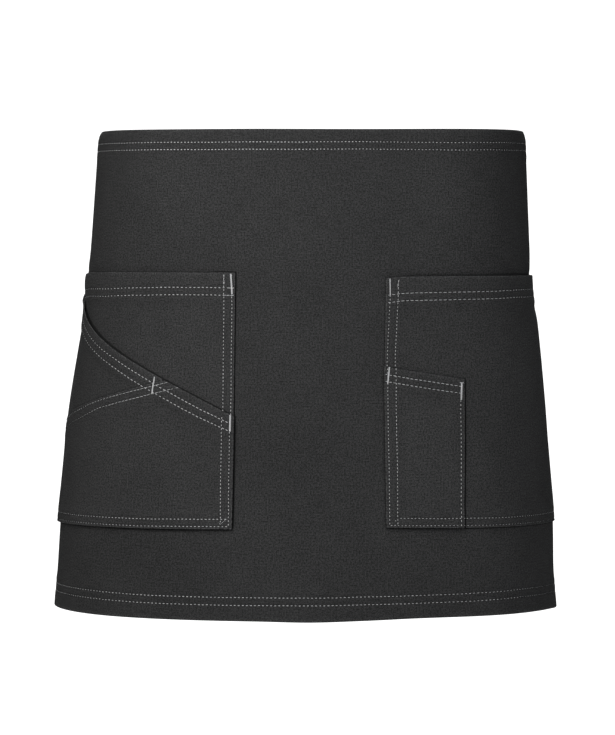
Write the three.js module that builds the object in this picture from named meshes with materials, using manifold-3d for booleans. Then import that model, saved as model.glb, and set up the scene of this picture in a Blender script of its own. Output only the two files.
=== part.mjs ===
// A worn waist apron of dark twill: one panel wrapped round the hips, a patch pocket with a second,
// slanting pocket layer on the left, a patch pocket with a narrow tool pocket on the right, and two
// straps that a slide joins behind the waist.
//
// Millimetres, +Z up. The front faces -Y, and left and right are those of someone facing it. The
// origin is the middle of the waist, level with the panel's top edge.
//
// Every cloth piece is drawn flat and then bent round the hips. A flat place is given by across,
// the distance from centre front along the cloth (negative on the left), and drop, the distance
// below the top edge. Lift is the distance out from the panel's outer face.

import * as THREE from "three";
import { mergeVertices } from "three/addons/utils/BufferGeometryUtils.js";
import Module from "manifold-3d";

// Cloth
const CLOTH = 1.0;
const HEM_BULK = 0.8;
const HEM_STEP = 3;
const GAP = 0.3;

// Panel
const PANEL = { half: 370, height: 403, waistHem: 21, bottomHem: 23, endHem: 12 };

// Level sections of the worn panel. Half-widths left and right, depths of the half ellipses that
// lie in front of and behind the widest line.
const SECTIONS = [
  { drop: 0, left: 180.5, right: 184.0, front: 122, back: 105 },
  { drop: 120, left: 189.5, right: 188.0, front: 131, back: 112 },
  { drop: 240, left: 202.5, right: 197.0, front: 141, back: 120 },
  { drop: 330, left: 213.5, right: 206.3, front: 149, back: 126 },
  { drop: 403, left: 219.3, right: 210.8, front: 156, back: 130 },
];

// Pockets. inner and outer are the sewn edges' distances from centre front. Each edge that runs
// across is a straight line between its drops at the inner and outer ends.
const POCKET = { inner: 62, outer: 282, hem: 22 };
const LEFT = { top: [118.7, 119.5], bottom: [329.4, 333.0], mouth: [236.8, 130.3], seamOuter: 247.3 };
const RIGHT = { top: [122.5, 122.0], bottom: [328.1, 333.0] };
const TOOL = { outer: 130.8, top: [195.9, 207.0], bottom: [328.1, 329.6] };
const SLANT_HEM = 15;
const SEAM_LAP = 11;

// How far each pocket layer stands off what it is sewn to, at the middle of its mouth. hug is the
// power of the bulge across the pocket, so a larger one lies flatter near the sewn edges. fall is
// the power of its closing towards the sewn bottom, so a larger one stays open further down.
const EASE = {
  leftBack: { most: 6.8, hug: 1.3, fall: 1.6 },
  leftFront: { most: 6.8, hug: 1.6, fall: 1.6 },
  right: { most: 6.8, hug: 1.6, fall: 1.6 },
  tool: { most: 6.4, hug: 1.2, fall: 1.6 },
};

// Mesh stations, shared by every layer so that the layers' flats lie parallel
const STEPS = { centre: 5, pocket: 22, end: 6, panelRows: 9, pocketRows: 8, sideRows: 5 };
const SEAM_STATION = 6;

// Strap and slide behind the waist
const STRAP = { wide: 30, thick: 1.5, top: 3, sewnFrom: 328, tail: 30, turnSteps: 8, runSteps: 14 };
const SLIDE = { wide: 34, tall: 38, thick: 3, bar: 6, slot: 7.5, slotTall: 32 };

const STRAP_LIFT = -(CLOTH + HEM_BULK + GAP + STRAP.thick / 2);
const STRAP_TURN = (SLIDE.thick + STRAP.thick) / 2 + GAP;
const CUT_PAST = 2;

const FINISH = {
  cloth: { color: 0x2b2b2c, roughness: 0.9 },
  strap: { color: 0x1f1f20, roughness: 0.85 },
  slide: { color: 0x161616, roughness: 0.5 },
};

// Places closer than this are one place
const SAME_STATION = 0.01;
const SAME_POINT = 1e-4;

const wasm = await Module();
wasm.setup();

// Smooth curve through one column of the sections, as a cubic with each row's slope taken from its
// neighbours.
function sectionValue(column, drop) {
  const last = SECTIONS.length - 1;
  const slope = (i) => {
    const a = SECTIONS[Math.max(i - 1, 0)];
    const b = SECTIONS[Math.min(i + 1, last)];
    return (b[column] - a[column]) / (b.drop - a.drop);
  };
  let i = 0;
  while (i < last - 1 && drop > SECTIONS[i + 1].drop) i += 1;
  const from = SECTIONS[i];
  const to = SECTIONS[i + 1];
  const span = to.drop - from.drop;
  const t = (drop - from.drop) / span;
  return (
    (1 + 2 * t) * (1 - t) ** 2 * from[column] +
    t * (1 - t) ** 2 * span * slope(i) +
    t ** 2 * (3 - 2 * t) * to[column] +
    t ** 2 * (t - 1) * span * slope(i + 1)
  );
}

// Half of a level section, from centre front round to centre back.
function halfSection(drop, side) {
  const half = sectionValue(side < 0 ? "left" : "right", drop);
  const path = new THREE.CurvePath();
  path.add(new THREE.EllipseCurve(0, 0, half, sectionValue("front", drop), -Math.PI / 2, 0));
  path.add(new THREE.EllipseCurve(0, 0, half, sectionValue("back", drop), 0, Math.PI / 2));
  return path;
}

// The plan place of a flat place on a section, moved out by lift.
function planPoint(path, side, across, lift) {
  const share = Math.abs(across) / path.getLength();
  const place = path.getPoint(share);
  const along = path.getTangent(share);
  return new THREE.Vector2(side * (place.x + lift * along.y), place.y - lift * along.x);
}

const sectionCache = new Map();

function wear(across, drop, lift) {
  const side = across < 0 ? -1 : 1;
  const key = `${side} ${drop.toFixed(3)}`;
  if (!sectionCache.has(key)) sectionCache.set(key, halfSection(drop, side));
  const plan = planPoint(sectionCache.get(key), side, across, lift);
  return new THREE.Vector3(plan.x, plan.y, -drop);
}

function spread(from, to, steps) {
  return Array.from({ length: steps + 1 }, (_, i) => from + ((to - from) * i) / steps);
}

function inOrder(places) {
  const sorted = [...places].sort((a, b) => a - b);
  return sorted.filter((place, i) => i === 0 || place - sorted[i - 1] > SAME_STATION);
}

// The drop of a straight edge between its inner and outer ends.
function edgeLine([innerDrop, outerDrop], inner = POCKET.inner, outer = POCKET.outer) {
  return (across) => innerDrop + ((outerDrop - innerDrop) * (Math.abs(across) - inner)) / (outer - inner);
}

// 1 up to the depth of a hem, 0 past it
function withinHem(depth, hem, step = HEM_STEP) {
  return 1 - THREE.MathUtils.smoothstep(depth, hem, hem + step);
}

// The stand-off of a pocket layer between its sewn edges, from its mouth down to its bottom.
function bulge({ most, hug, fall }, across, drop, top, bottom, inner, outer) {
  const w = THREE.MathUtils.clamp((Math.abs(across) - inner) / (outer - inner), 0, 1);
  const q = THREE.MathUtils.clamp((drop - top(across)) / (bottom(across) - top(across)), 0, 1);
  return most * Math.sin(Math.PI * w) ** hug * (1 - q ** fall);
}

function paint(name, geometry, finish) {
  const material = new THREE.MeshStandardMaterial({ ...finish, metalness: 0 });
  const mesh = new THREE.Mesh(geometry, material);
  mesh.name = name;
  return mesh;
}

function closed(geometry) {
  geometry.deleteAttribute("normal");
  geometry.deleteAttribute("uv");
  const merged = mergeVertices(geometry, SAME_POINT);
  merged.computeVertexNormals();
  return merged;
}

// A sheet of cloth. stations are its places across, rowsAt gives its drops from the top edge to the
// bottom edge at a station, inside and thickness give the lift of its inner face and its wall.
function clothSheet(name, { stations, rowsAt, inside, thickness }) {
  const rowCount = rowsAt(stations[0]).length;
  const geometry = new THREE.BoxGeometry(1, 1, 1, stations.length - 1, rowCount - 1, 1);
  const position = geometry.getAttribute("position");
  for (let i = 0; i < position.count; i += 1) {
    const across = stations[Math.round((position.getX(i) + 0.5) * (stations.length - 1))];
    const drop = rowsAt(across)[Math.round((0.5 - position.getY(i)) * (rowCount - 1))];
    const wall = position.getZ(i) > 0 ? thickness(across, drop) : 0;
    const point = wear(across, drop, inside(across, drop) + wall);
    position.setXYZ(i, point.x, point.y, point.z);
  }
  return paint(name, closed(geometry), FINISH.cloth);
}

// Rows from a hemmed top edge down to a plain bottom edge.
function hemmedRows(top, bottom, hem, count) {
  return [top, top + hem, ...spread(top + hem + HEM_STEP, bottom, count)];
}

function apronPanel() {
  const { half, height, waistHem, bottomHem, endHem } = PANEL;
  const oneSide = [
    ...spread(0, POCKET.inner, STEPS.centre),
    ...spread(POCKET.inner, POCKET.outer, STEPS.pocket),
    ...spread(POCKET.outer, half - endHem - HEM_STEP, STEPS.end),
    half - endHem,
    half,
  ];
  const lowest = height - bottomHem;
  const rows = [
    ...hemmedRows(0, lowest - HEM_STEP, waistHem, STEPS.panelRows),
    lowest,
    height,
  ];
  const thickness = (across, drop) => {
    const edges = [
      withinHem(drop, waistHem),
      withinHem(height - drop, bottomHem),
      withinHem(half - Math.abs(across), endHem),
    ];
    return CLOTH + HEM_BULK * Math.max(...edges);
  };
  return clothSheet("apron_panel", {
    stations: inOrder([...oneSide.map((place) => -place), ...oneSide]),
    rowsAt: () => rows,
    inside: (across, drop) => -thickness(across, drop),
    thickness,
  });
}

const pocketStations = spread(POCKET.inner, POCKET.outer, STEPS.pocket);
const leftTop = edgeLine(LEFT.top);
const leftBottom = edgeLine(LEFT.bottom);
const leftMouth = edgeLine(LEFT.mouth);
const rightTop = edgeLine(RIGHT.top);
const rightBottom = edgeLine(RIGHT.bottom);

function leftBackEase(across, drop) {
  return bulge(EASE.leftBack, across, drop, leftTop, leftBottom, POCKET.inner, POCKET.outer);
}

function leftPocketBack() {
  return clothSheet("left_pocket_back", {
    stations: inOrder(pocketStations.map((place) => -place)),
    rowsAt: (across) => hemmedRows(leftTop(across), leftBottom(across), POCKET.hem, STEPS.pocketRows),
    inside: (across, drop) => GAP + leftBackEase(across, drop),
    thickness: (across, drop) => CLOTH + HEM_BULK * withinHem(drop - leftTop(across), POCKET.hem),
  });
}

// The second layer lies over the first one's hem near the top and over its single cloth lower down.
function leftFrontInside(across, drop) {
  const overHem = HEM_BULK * withinHem(drop - leftTop(across), POCKET.hem + HEM_STEP, 2 * POCKET.hem);
  const own = bulge(EASE.leftFront, across, drop, leftMouth, leftBottom, POCKET.inner, POCKET.outer);
  return GAP + leftBackEase(across, drop) + CLOTH + overHem + GAP + own;
}

const seamInner = pocketStations[SEAM_STATION];
const leftSeam = edgeLine([leftMouth(seamInner), LEFT.seamOuter], seamInner);

// The lower piece's top edge is the slanting mouth, and past the seam's start it is the seam.
function leftPocketFront() {
  const top = (across) => Math.max(leftMouth(across), leftSeam(across));
  const alongMouth = (across) => Math.abs(across) <= seamInner;
  const fold = (across) => (alongMouth(across) ? SLANT_HEM : SEAM_LAP);
  return clothSheet("left_pocket_front", {
    stations: inOrder(pocketStations.map((place) => -place)),
    rowsAt: (across) => hemmedRows(top(across), leftBottom(across), fold(across), STEPS.pocketRows),
    inside: leftFrontInside,
    thickness: (across, drop) => CLOTH + HEM_BULK * withinHem(drop - top(across), fold(across)),
  });
}

function leftPocketSide() {
  const start = seamInner + HEM_STEP;
  const outward = [start, ...pocketStations.slice(SEAM_STATION + 1)];
  const rowsAt = (across) => spread(leftMouth(across), leftSeam(across) - GAP, STEPS.sideRows);
  return clothSheet("left_pocket_side", {
    stations: inOrder(outward.map((place) => -place)),
    rowsAt,
    inside: leftFrontInside,
    thickness: () => CLOTH,
  });
}

function rightEase(across, drop) {
  return bulge(EASE.right, across, drop, rightTop, rightBottom, POCKET.inner, POCKET.outer);
}

function rightPocket() {
  return clothSheet("right_pocket", {
    stations: pocketStations,
    rowsAt: (across) => hemmedRows(rightTop(across), rightBottom(across), POCKET.hem, STEPS.pocketRows),
    inside: (across, drop) => GAP + rightEase(across, drop),
    thickness: (across, drop) => CLOTH + HEM_BULK * withinHem(drop - rightTop(across), POCKET.hem),
  });
}

function rightToolPocket() {
  const { outer } = TOOL;
  const top = edgeLine(TOOL.top, POCKET.inner, outer);
  const bottom = edgeLine(TOOL.bottom, POCKET.inner, outer);
  const own = (across, drop) => bulge(EASE.tool, across, drop, top, bottom, POCKET.inner, outer);
  return clothSheet("right_tool_pocket", {
    stations: [...pocketStations.filter((place) => place < outer - HEM_STEP), outer],
    rowsAt: (across) => hemmedRows(top(across), bottom(across), SLANT_HEM, STEPS.pocketRows),
    inside: (across, drop) => GAP + rightEase(across, drop) + CLOTH + GAP + own(across, drop),
    thickness: (across, drop) => CLOTH + HEM_BULK * withinHem(drop - top(across), SLANT_HEM),
  });
}

// A strap runs inside the panel's end, on round the back, in front of the slide's end bar, out
// through its slot and back over itself. It is one ribbon in plan, as tall as the strap is wide.
function strap(name, side) {
  const section = halfSection(STRAP.top, side);
  const endBarEdge = SLIDE.wide / 2 - SLIDE.bar;
  const backLength = section.getLength();
  const straightFrom = backLength - SLIDE.wide / 2;
  const levelOf = (across, lift) => planPoint(section, side, across, lift);
  const slideY = levelOf(backLength, STRAP_LIFT).y;
  const line = spread(STRAP.sewnFrom, straightFrom, STRAP.runSteps).map((a) => levelOf(a, STRAP_LIFT));
  spread(0, Math.PI, STRAP.turnSteps).forEach((angle) => {
    const x = endBarEdge - STRAP_TURN * Math.sin(angle);
    line.push(new THREE.Vector2(side * x, slideY + STRAP_TURN - STRAP_TURN * Math.cos(angle)));
  });
  const bow = slideY - levelOf(straightFrom, STRAP_LIFT).y;
  spread(straightFrom, straightFrom - STRAP.tail, STRAP.turnSteps).forEach((a, i) => {
    const close = THREE.MathUtils.smoothstep(i, 0, STRAP.turnSteps);
    const apart = THREE.MathUtils.lerp(2 * STRAP_TURN + bow, STRAP.thick + GAP, close);
    line.push(levelOf(a, STRAP_LIFT + apart));
  });
  return paint(name, ribbon(line, STRAP), FINISH.strap);
}

// An upright ribbon along a plan line.
function ribbon(line, { thick, wide, top }) {
  const edge = (offset) =>
    line.map((point, i) => {
      const before = line[Math.max(i - 1, 0)];
      const after = line[Math.min(i + 1, line.length - 1)];
      const along = after.clone().sub(before).normalize();
      return new THREE.Vector2(point.x - along.y * offset, point.y + along.x * offset);
    });
  const outline = [...edge(thick / 2), ...edge(-thick / 2).reverse()];
  const geometry = new THREE.ExtrudeGeometry(new THREE.Shape(outline), {
    depth: wide,
    bevelEnabled: false,
  });
  geometry.translate(0, 0, -top - wide);
  return closed(geometry);
}

function asSolid(geometry) {
  const { position } = geometry.attributes;
  const mesh = new wasm.Mesh({
    numProp: 3,
    vertProperties: new Float32Array(position.array),
    triVerts: new Uint32Array(geometry.index.array),
  });
  return new wasm.Manifold(mesh);
}

function fromSolid(solid) {
  const { vertProperties, triVerts } = solid.getMesh();
  const geometry = new THREE.BufferGeometry();
  geometry.setAttribute("position", new THREE.BufferAttribute(vertProperties, 3));
  geometry.setIndex(new THREE.BufferAttribute(triVerts, 1));
  return geometry;
}

// A flat plate with an upright slot for each strap.
function strapSlide() {
  const y = sectionValue("back", STRAP.top) + STRAP_LIFT + STRAP_TURN;
  const z = -STRAP.top - STRAP.wide / 2;
  const block = (wide, deep, tall, x) =>
    asSolid(closed(new THREE.BoxGeometry(wide, deep, tall).translate(x, y, z)));
  const slotX = SLIDE.wide / 2 - SLIDE.bar - SLIDE.slot / 2;
  const cutDeep = SLIDE.thick + CUT_PAST;
  const plate = block(SLIDE.wide, SLIDE.thick, SLIDE.tall, 0)
    .subtract(block(SLIDE.slot, cutDeep, SLIDE.slotTall, -slotX))
    .subtract(block(SLIDE.slot, cutDeep, SLIDE.slotTall, slotX));
  return paint("strap_slide", closed(fromSolid(plate)), FINISH.slide);
}

const apron = new THREE.Group();
apron.add(
  apronPanel(),
  leftPocketBack(),
  leftPocketFront(),
  leftPocketSide(),
  rightPocket(),
  rightToolPocket(),
  strap("strap_left", -1),
  strap("strap_right", 1),
  strapSlide(),
);

export default apron;
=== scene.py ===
# A waist apron of dark twill in its worn form, with twin-stitched hems, a layered pocket on the left, a
# pocket with a narrow tool pocket on the right, and two straps that a slide joins behind the waist.
# Left and right are those of someone facing it. Flat sizes are in millimetres.

import math

import bpy
import numpy as np
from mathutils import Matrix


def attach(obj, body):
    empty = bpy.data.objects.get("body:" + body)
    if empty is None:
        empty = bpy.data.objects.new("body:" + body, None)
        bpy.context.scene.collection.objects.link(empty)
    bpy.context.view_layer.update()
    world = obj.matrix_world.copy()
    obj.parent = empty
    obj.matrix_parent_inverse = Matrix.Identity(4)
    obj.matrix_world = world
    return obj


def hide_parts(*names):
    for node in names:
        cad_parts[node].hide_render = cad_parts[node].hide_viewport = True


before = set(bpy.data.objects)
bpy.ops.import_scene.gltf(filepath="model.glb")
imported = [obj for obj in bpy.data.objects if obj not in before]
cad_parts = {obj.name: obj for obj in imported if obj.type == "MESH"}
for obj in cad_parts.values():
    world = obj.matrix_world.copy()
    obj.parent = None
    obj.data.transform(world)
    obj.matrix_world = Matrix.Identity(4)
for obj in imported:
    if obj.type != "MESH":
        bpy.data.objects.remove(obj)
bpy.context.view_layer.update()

# Panel
# One rectangle of twill wrapped round the hips, turned under twice on all four sides and sewn with twin
# rows at the waist and the bottom. A flat place is across, the distance from centre front along the
# cloth (left is negative), and drop, the distance below the waist edge. Lift is out from the panel's face.

MM = 0.001
CLOTH = 0.56
PANEL = {"half": 370.0, "drop": 403.0, "waist_hem": 21.0, "bottom_hem": 23.0, "end_hem": 12.0}
HEM_SHARP = 0.6
HEM_SOFT = 6.0
HEM_LAYERS = 2

# Half-widths of the level sections of the worn panel, and the depths of their front and back halves
SECTIONS = {
    "drop": (0, 120, 240, 330, 403),
    "left": (180.5, 189.5, 202.5, 213.5, 219.3),
    "right": (184.0, 188.0, 197.0, 206.3, 210.8),
    "front": (122, 131, 141, 149, 156),
    "back": (105, 112, 120, 126, 130),
}
# How much fuller the worn cloth is at its sides than those sections
FULLNESS = {
    "drop": (0, 100, 125, 145, 160, 180, 200, 245, 295, 325, 345, 370, 403),
    "left": (0, -0.3, 0.6, -1.5, -1.7, -0.3, 0.8, 1.9, 0.9, 0.7, 0.3, 0.1, 0.5),
    "right": (0, 1.0, 0, 0.5, 2.5, 3.2, 3.6, 3.9, 2.8, 2.5, 1.5, 0.4, 1.0),
}
FULL_FROM = 110.0
FULL_AT = 240.0
# The front quarters are a little squarer than an oval
SQUARE = {"left": 1.5, "right": 8.0, "from": 70.0, "waist_to": 228.0, "bottom_to": 258.0}
WAIST_ROLL = {"left": 3.2, "right": 2.5, "deep": 3.2, "from": 130.0, "at": 245.0}
# How far the waist and bottom edges lie below an even level
EDGE_DIP = {
    "across": (-370, -280, -190, -110, -45, 0, 45, 95, 150, 200, 245, 285, 370),
    "waist": (0, -0.2, -0.3, 0.2, 0.4, 0.6, 0.6, 0.1, -0.4, -0.8, -0.8, -0.6, 0),
    "bottom": (1.4, 1.4, 1.5, 1.1, 1.0, 1.6, 0.5, -0.6, -0.7, 0.0, 1.6, 3.3, 1.5),
}
WAIST_LEVEL_AT = 110.0
BOTTOM_LEVEL_FROM = 330.0
BOTTOM_LEVEL_AT = 385.0
# Tables of worn places, at whole drops and at whole distances from centre front
TABLE_TOP = -4
TABLE_BOTTOM = 412
TABLE_REACH = 485
TABLE_TURNS = 1201
# Places are kept just inside the last step of the tables
TABLE_EDGE = 1.001


def smooth_curve(knots, values, places):
    """A smooth curve through values at knots."""
    knots = np.array(knots, float)
    values = np.array(values, float)
    order = np.arange(len(knots))
    before = np.maximum(order - 1, 0)
    after = np.minimum(order + 1, order[-1])
    slopes = (values[after] - values[before]) / (knots[after] - knots[before])
    i = np.clip(np.searchsorted(knots, places, side="right") - 1, 0, order[-1] - 1)
    span = knots[i + 1] - knots[i]
    t = (places - knots[i]) / span
    upper = (1 + 2 * t) * (1 - t) ** 2 * values[i] + t * (1 - t) ** 2 * span * slopes[i]
    lower = t**2 * (3 - 2 * t) * values[i + 1] + t**2 * (t - 1) * span * slopes[i + 1]
    return upper + lower


def section_values(column, drops):
    return smooth_curve(SECTIONS["drop"], SECTIONS[column], drops)


def half_hip(column):
    """Plan places and directions on half of each section, by drop and by distance from centre front."""
    drops = np.arange(TABLE_TOP, TABLE_BOTTOM)
    turn = np.linspace(-math.pi / 2, math.pi / 2, TABLE_TURNS)
    half = section_values(column, drops)[:, None]
    front = section_values("front", drops)[:, None]
    back = section_values("back", drops)[:, None]
    depth = np.where(turn < 0, front, back)
    x = half * np.cos(turn)
    y = depth * np.sin(turn)
    toward_x = -half * np.sin(turn)
    toward_y = depth * np.cos(turn)
    length = np.hypot(toward_x, toward_y)
    steps = np.hypot(np.diff(x), np.diff(y))
    arc = np.concatenate((np.zeros((len(drops), 1)), np.cumsum(steps, axis=1)), axis=1)
    places = np.arange(TABLE_REACH)
    columns = (x, y, toward_x / length, toward_y / length)
    return np.array([[np.interp(places, a, v) for a, v in zip(arc, values)] for values in columns])


HIPS = np.array([half_hip("left"), half_hip("right")])


def eased(depth, start, end):
    """0 up to start, 1 from end on, and smooth between."""
    t = np.clip((depth - start) / (end - start), 0, 1)
    return t * t * (3 - 2 * t)


# Slow waves in the cloth below the waist, by height, length and place
WAVE_FREE = {"from": 15, "over": 90}
BROAD_WAVE = {"high": 0.5, "across": 41, "down": 95, "turn": 1.1, "back": 0.4}
CLOSE_WAVE = {"high": 0.3, "across": 21, "down": 57, "turn": 0.6}


def hang(across, drop):
    """The cloth's lie off its even form: slow waves, the fullness of its sides and the rolled-in waist."""
    free = np.clip((drop - WAVE_FREE["from"]) / WAVE_FREE["over"], 0, 1)
    broad = BROAD_WAVE["high"] * np.sin(across / BROAD_WAVE["across"] + BROAD_WAVE["turn"])
    broad = broad * np.cos(drop / BROAD_WAVE["down"] - BROAD_WAVE["back"])
    close = np.sin(across / CLOSE_WAVE["across"] - drop / CLOSE_WAVE["down"] + CLOSE_WAVE["turn"])
    close = CLOSE_WAVE["high"] * close
    level = np.clip(drop, 0, PANEL["drop"])
    left = smooth_curve(FULLNESS["drop"], FULLNESS["left"], level)
    right = smooth_curve(FULLNESS["drop"], FULLNESS["right"], level)
    full = np.where(across < 0, left, right) * eased(np.abs(across), FULL_FROM, FULL_AT)
    side = SQUARE["waist_to"] + (SQUARE["bottom_to"] - SQUARE["waist_to"]) * level / PANEL["drop"]
    quarter = np.clip((np.abs(across) - SQUARE["from"]) / (side - SQUARE["from"]), 0, 1)
    full = full + np.where(across < 0, SQUARE["left"], SQUARE["right"]) * np.sin(math.pi * quarter) ** 2
    roll = np.where(across < 0, WAIST_ROLL["left"], WAIST_ROLL["right"])
    roll = roll * eased(np.abs(across), WAIST_ROLL["from"], WAIST_ROLL["at"])
    return free * (broad + close) + full - roll * np.exp(-level / WAIST_ROLL["deep"])


def worn(across, drop, lift):
    """Places in metres of flat places that stand off the panel's face by lift."""
    across, drop, lift = np.broadcast_arrays(across, drop, lift)
    lift = lift + hang(across, drop)
    half = np.where(across < 0, 0, 1)
    row = np.clip(drop - TABLE_TOP, 0, TABLE_BOTTOM - TABLE_TOP - TABLE_EDGE)
    place = np.clip(np.abs(across), 0, TABLE_REACH - TABLE_EDGE)
    i = row.astype(int)
    j = place.astype(int)
    down = (row - i)[..., None]
    along = (place - j)[..., None]
    upper = HIPS[half, :, i, j] * (1 - along) + HIPS[half, :, i, j + 1] * along
    lower = HIPS[half, :, i + 1, j] * (1 - along) + HIPS[half, :, i + 1, j + 1] * along
    x, y, toward_x, toward_y = np.moveaxis(upper * (1 - down) + lower * down, -1, 0)
    side = np.where(across < 0, -1.0, 1.0)
    waist = smooth_curve(EDGE_DIP["across"], EDGE_DIP["waist"], across)
    bottom = smooth_curve(EDGE_DIP["across"], EDGE_DIP["bottom"], across)
    low = drop + waist * (1 - eased(drop, 0, WAIST_LEVEL_AT))
    low = low + bottom * eased(drop, BOTTOM_LEVEL_FROM, BOTTOM_LEVEL_AT)
    return MM * np.stack((side * (x + lift * toward_y), y - lift * toward_x, -low), axis=-1)


def within(depth, reach, soft):
    """1 down to the reach of a hem, 0 past it."""
    return 1 - eased(depth, reach, reach + soft)


# Stitches pull the cloth in along their rows
STITCH_PULL = 0.2
STITCH_REACH = 0.9


def pulled(away):
    return STITCH_PULL * np.exp(-((away / STITCH_REACH) ** 2))


def curled(edge, radius):
    """How far a turned edge has curled in at a distance from its fold."""
    near = np.clip(radius - edge, 0, radius)
    return radius - np.sqrt(radius**2 - near**2)


EDGE_STEPS = (0.0, 0.06, 0.25, 0.6, 1.1)
ROW_STEPS = (-1.7, -1.0, -0.5, 0.0, 0.5, 1.0, 1.7)
HEM_STEPS = (-0.7, -0.1, 0.15, 0.35, 0.7)
CLEAR_SHARE = 0.4


def spread(start, end, step, edges=(), rows=(), hems=(), also=()):
    """Places from start to end at about a step apart, closer at turned edges, rows and hem folds."""
    fine = [start, end, *also]
    for edge, inward in edges:
        fine += [edge + inward * s for s in EDGE_STEPS]
    fine += [row + s for row in rows for s in ROW_STEPS]
    fine += [hem + s for hem in hems for s in HEM_STEPS]
    fine = np.unique(np.round([f for f in fine if start <= f <= end], 3))
    even = np.linspace(start, end, max(2, round((end - start) / step) + 1))
    clear = np.min(np.abs(even[:, None] - fine[None, :]), axis=1) > CLEAR_SHARE * step
    return np.sort(np.concatenate((fine, even[clear])))


THINNEST = 0.04


def deselect_all():
    bpy.ops.object.select_all(action="DESELECT")


# Far past any edge, and no painted crease shade there
NO_CREASE_SHADE = (9.0, 0.0)


def grid_piece(name, row_count, column_count):
    """A flat grid for a sheet, with the row from the top and the column of each of its vertices."""
    deselect_all()
    bpy.ops.mesh.primitive_grid_add(x_subdivisions=column_count - 1, y_subdivisions=row_count - 1)
    piece = bpy.context.object
    piece.name = name
    piece.data.name = name
    start = np.empty(len(piece.data.vertices) * 3, np.float32)
    piece.data.vertices.foreach_get("co", start)
    start = start.reshape(-1, 3)
    start = (start - start.min(axis=0)) / np.maximum(np.ptp(start, axis=0), 1e-9)
    column = np.rint(start[:, 0] * (column_count - 1)).astype(int)
    row = np.rint((1 - start[:, 1]) * (row_count - 1)).astype(int)
    return piece, row, column


def lay_out(mesh, places, flat):
    """Moves a grid to its worn places in metres, with its flat places in millimetres as its UV map."""
    mesh.vertices.foreach_set("co", places.astype(np.float32).ravel())
    corners = np.empty(len(mesh.loops), np.int32)
    mesh.loops.foreach_get("vertex_index", corners)
    mesh.uv_layers.active.data.foreach_set("uv", (MM * flat[corners]).astype(np.float32).ravel())
    mesh.update()


def add_wall(piece, wall, offset):
    """Thickens a sheet by a wall in millimetres for each of its vertices."""
    most = wall.max()
    group = piece.vertex_groups.new(name="wall")
    for index, share in enumerate(wall / most):
        group.add([index], float(share), "REPLACE")
    solid = piece.modifiers.new("wall", "SOLIDIFY")
    solid.thickness = most * MM
    solid.offset = offset
    solid.vertex_group = "wall"
    bpy.ops.object.modifier_apply(modifier="wall")
    piece.vertex_groups.clear()
    bpy.ops.object.shade_smooth()


def cloth_sheet(name, across, drop, lift, thick, fold, sewn, crease_shade):
    """A sheet whose outer face is at lift, with its wall inside it. The arrays are by row and column."""
    piece, row, column = grid_piece(name, *across.shape)
    mesh = piece.data
    count = len(mesh.vertices)
    flat_across = across[row, column]
    flat_drop = drop[row, column]
    places = worn(flat_across, flat_drop, lift[row, column])
    lay_out(mesh, places, np.column_stack((flat_across, -flat_drop)))
    # Marks the twill reads: closeness to folds, paler as wear and as a painted highlight; to stitch rows,
    # darker as painted shade; and past sewn edges, darker as painted crease shade
    for label, values in (("fold", fold), ("sewn", sewn), ("beyond", crease_shade[0]), ("crease_shade", crease_shade[1])):
        marks = mesh.attributes.new(label, "FLOAT", "POINT")
        values = np.broadcast_to(values, across.shape)[row, column]
        marks.data.foreach_set("value", values.astype(np.float32))
    add_wall(piece, np.maximum(thick[row, column], THINNEST), -1)
    # The vertices after the outer face's are the inner face's, which no edge is sewn onto, so they carry no
    # painted crease shade
    for mark in list(mesh.attributes["crease_shade"].data)[count:]:
        mark.value = 0.0
    return piece


WAIST_ROWS = (11.05, 17.1)
BOTTOM_ROWS = (384.2, 390.5)
END_ROW = 361.0
# How far the twin rows stray down from their even level
STRAY = {
    "across": (-370, -208, -146, -75, -35, -4, 42, 80, 118, 134, 165, 190, 370),
    "waist": (0, 0, 0, 0, -0.3, -0.2, -0.55, 0.25, 0.5, 0.4, 0.1, 0, 0),
    "bottom": (-0.9, -1.0, -0.4, -0.45, -0.8, -1.35, -0.8, 0, 0, -0.3, -0.7, -1.1, -1.2),
}
PANEL_STEP = {"across": 3.0, "drop": 3.6}

# The panel is pressed back a little along the pocket mouths
MOUTH_DENT = {
    "left": 119.0,
    "right": 122.0,
    "deep": 0.5,
    "soft": 3.6,
    "inner": 62.0,
    "outer": 282.0,
    "past": 2.0,
    "end": 8.0,
}
DENT_LEVELS = (114.0, 116.0, 117.5, 119.0, 120.5, 122.0, 124.0)


def mouth_dent(across, drop):
    dent = MOUTH_DENT
    place = np.abs(across)
    level = np.where(across < 0, dent["left"], dent["right"])
    ends = eased(place, dent["inner"] - dent["past"], dent["inner"] + dent["end"])
    ends = ends * (1 - eased(place, dent["outer"] - dent["end"], dent["outer"] + dent["past"]))
    return dent["deep"] * ends * np.exp(-(((drop - level) / dent["soft"]) ** 2))


panel_across = spread(
    -PANEL["half"],
    PANEL["half"],
    PANEL_STEP["across"],
    edges=((-PANEL["half"], 1), (PANEL["half"], -1)),
    rows=(-END_ROW, END_ROW),
    hems=(PANEL["end_hem"] - PANEL["half"], PANEL["half"] - PANEL["end_hem"]),
)
panel_drop = spread(
    0,
    PANEL["drop"],
    PANEL_STEP["drop"],
    edges=((0, 1), (PANEL["drop"], -1)),
    rows=WAIST_ROWS + BOTTOM_ROWS,
    hems=(PANEL["waist_hem"], PANEL["drop"] - PANEL["bottom_hem"]),
    also=DENT_LEVELS,
)
panel_across, panel_drop = np.meshgrid(panel_across, panel_drop)


def panel_layers(across, drop, soft):
    """How many cloths thick the panel is."""
    waist = within(drop, PANEL["waist_hem"], soft)
    bottom = within(PANEL["drop"] - drop, PANEL["bottom_hem"], soft)
    end = within(PANEL["half"] - np.abs(across), PANEL["end_hem"], soft)
    return 1 + HEM_LAYERS * np.maximum(np.maximum(waist, bottom), end)


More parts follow.
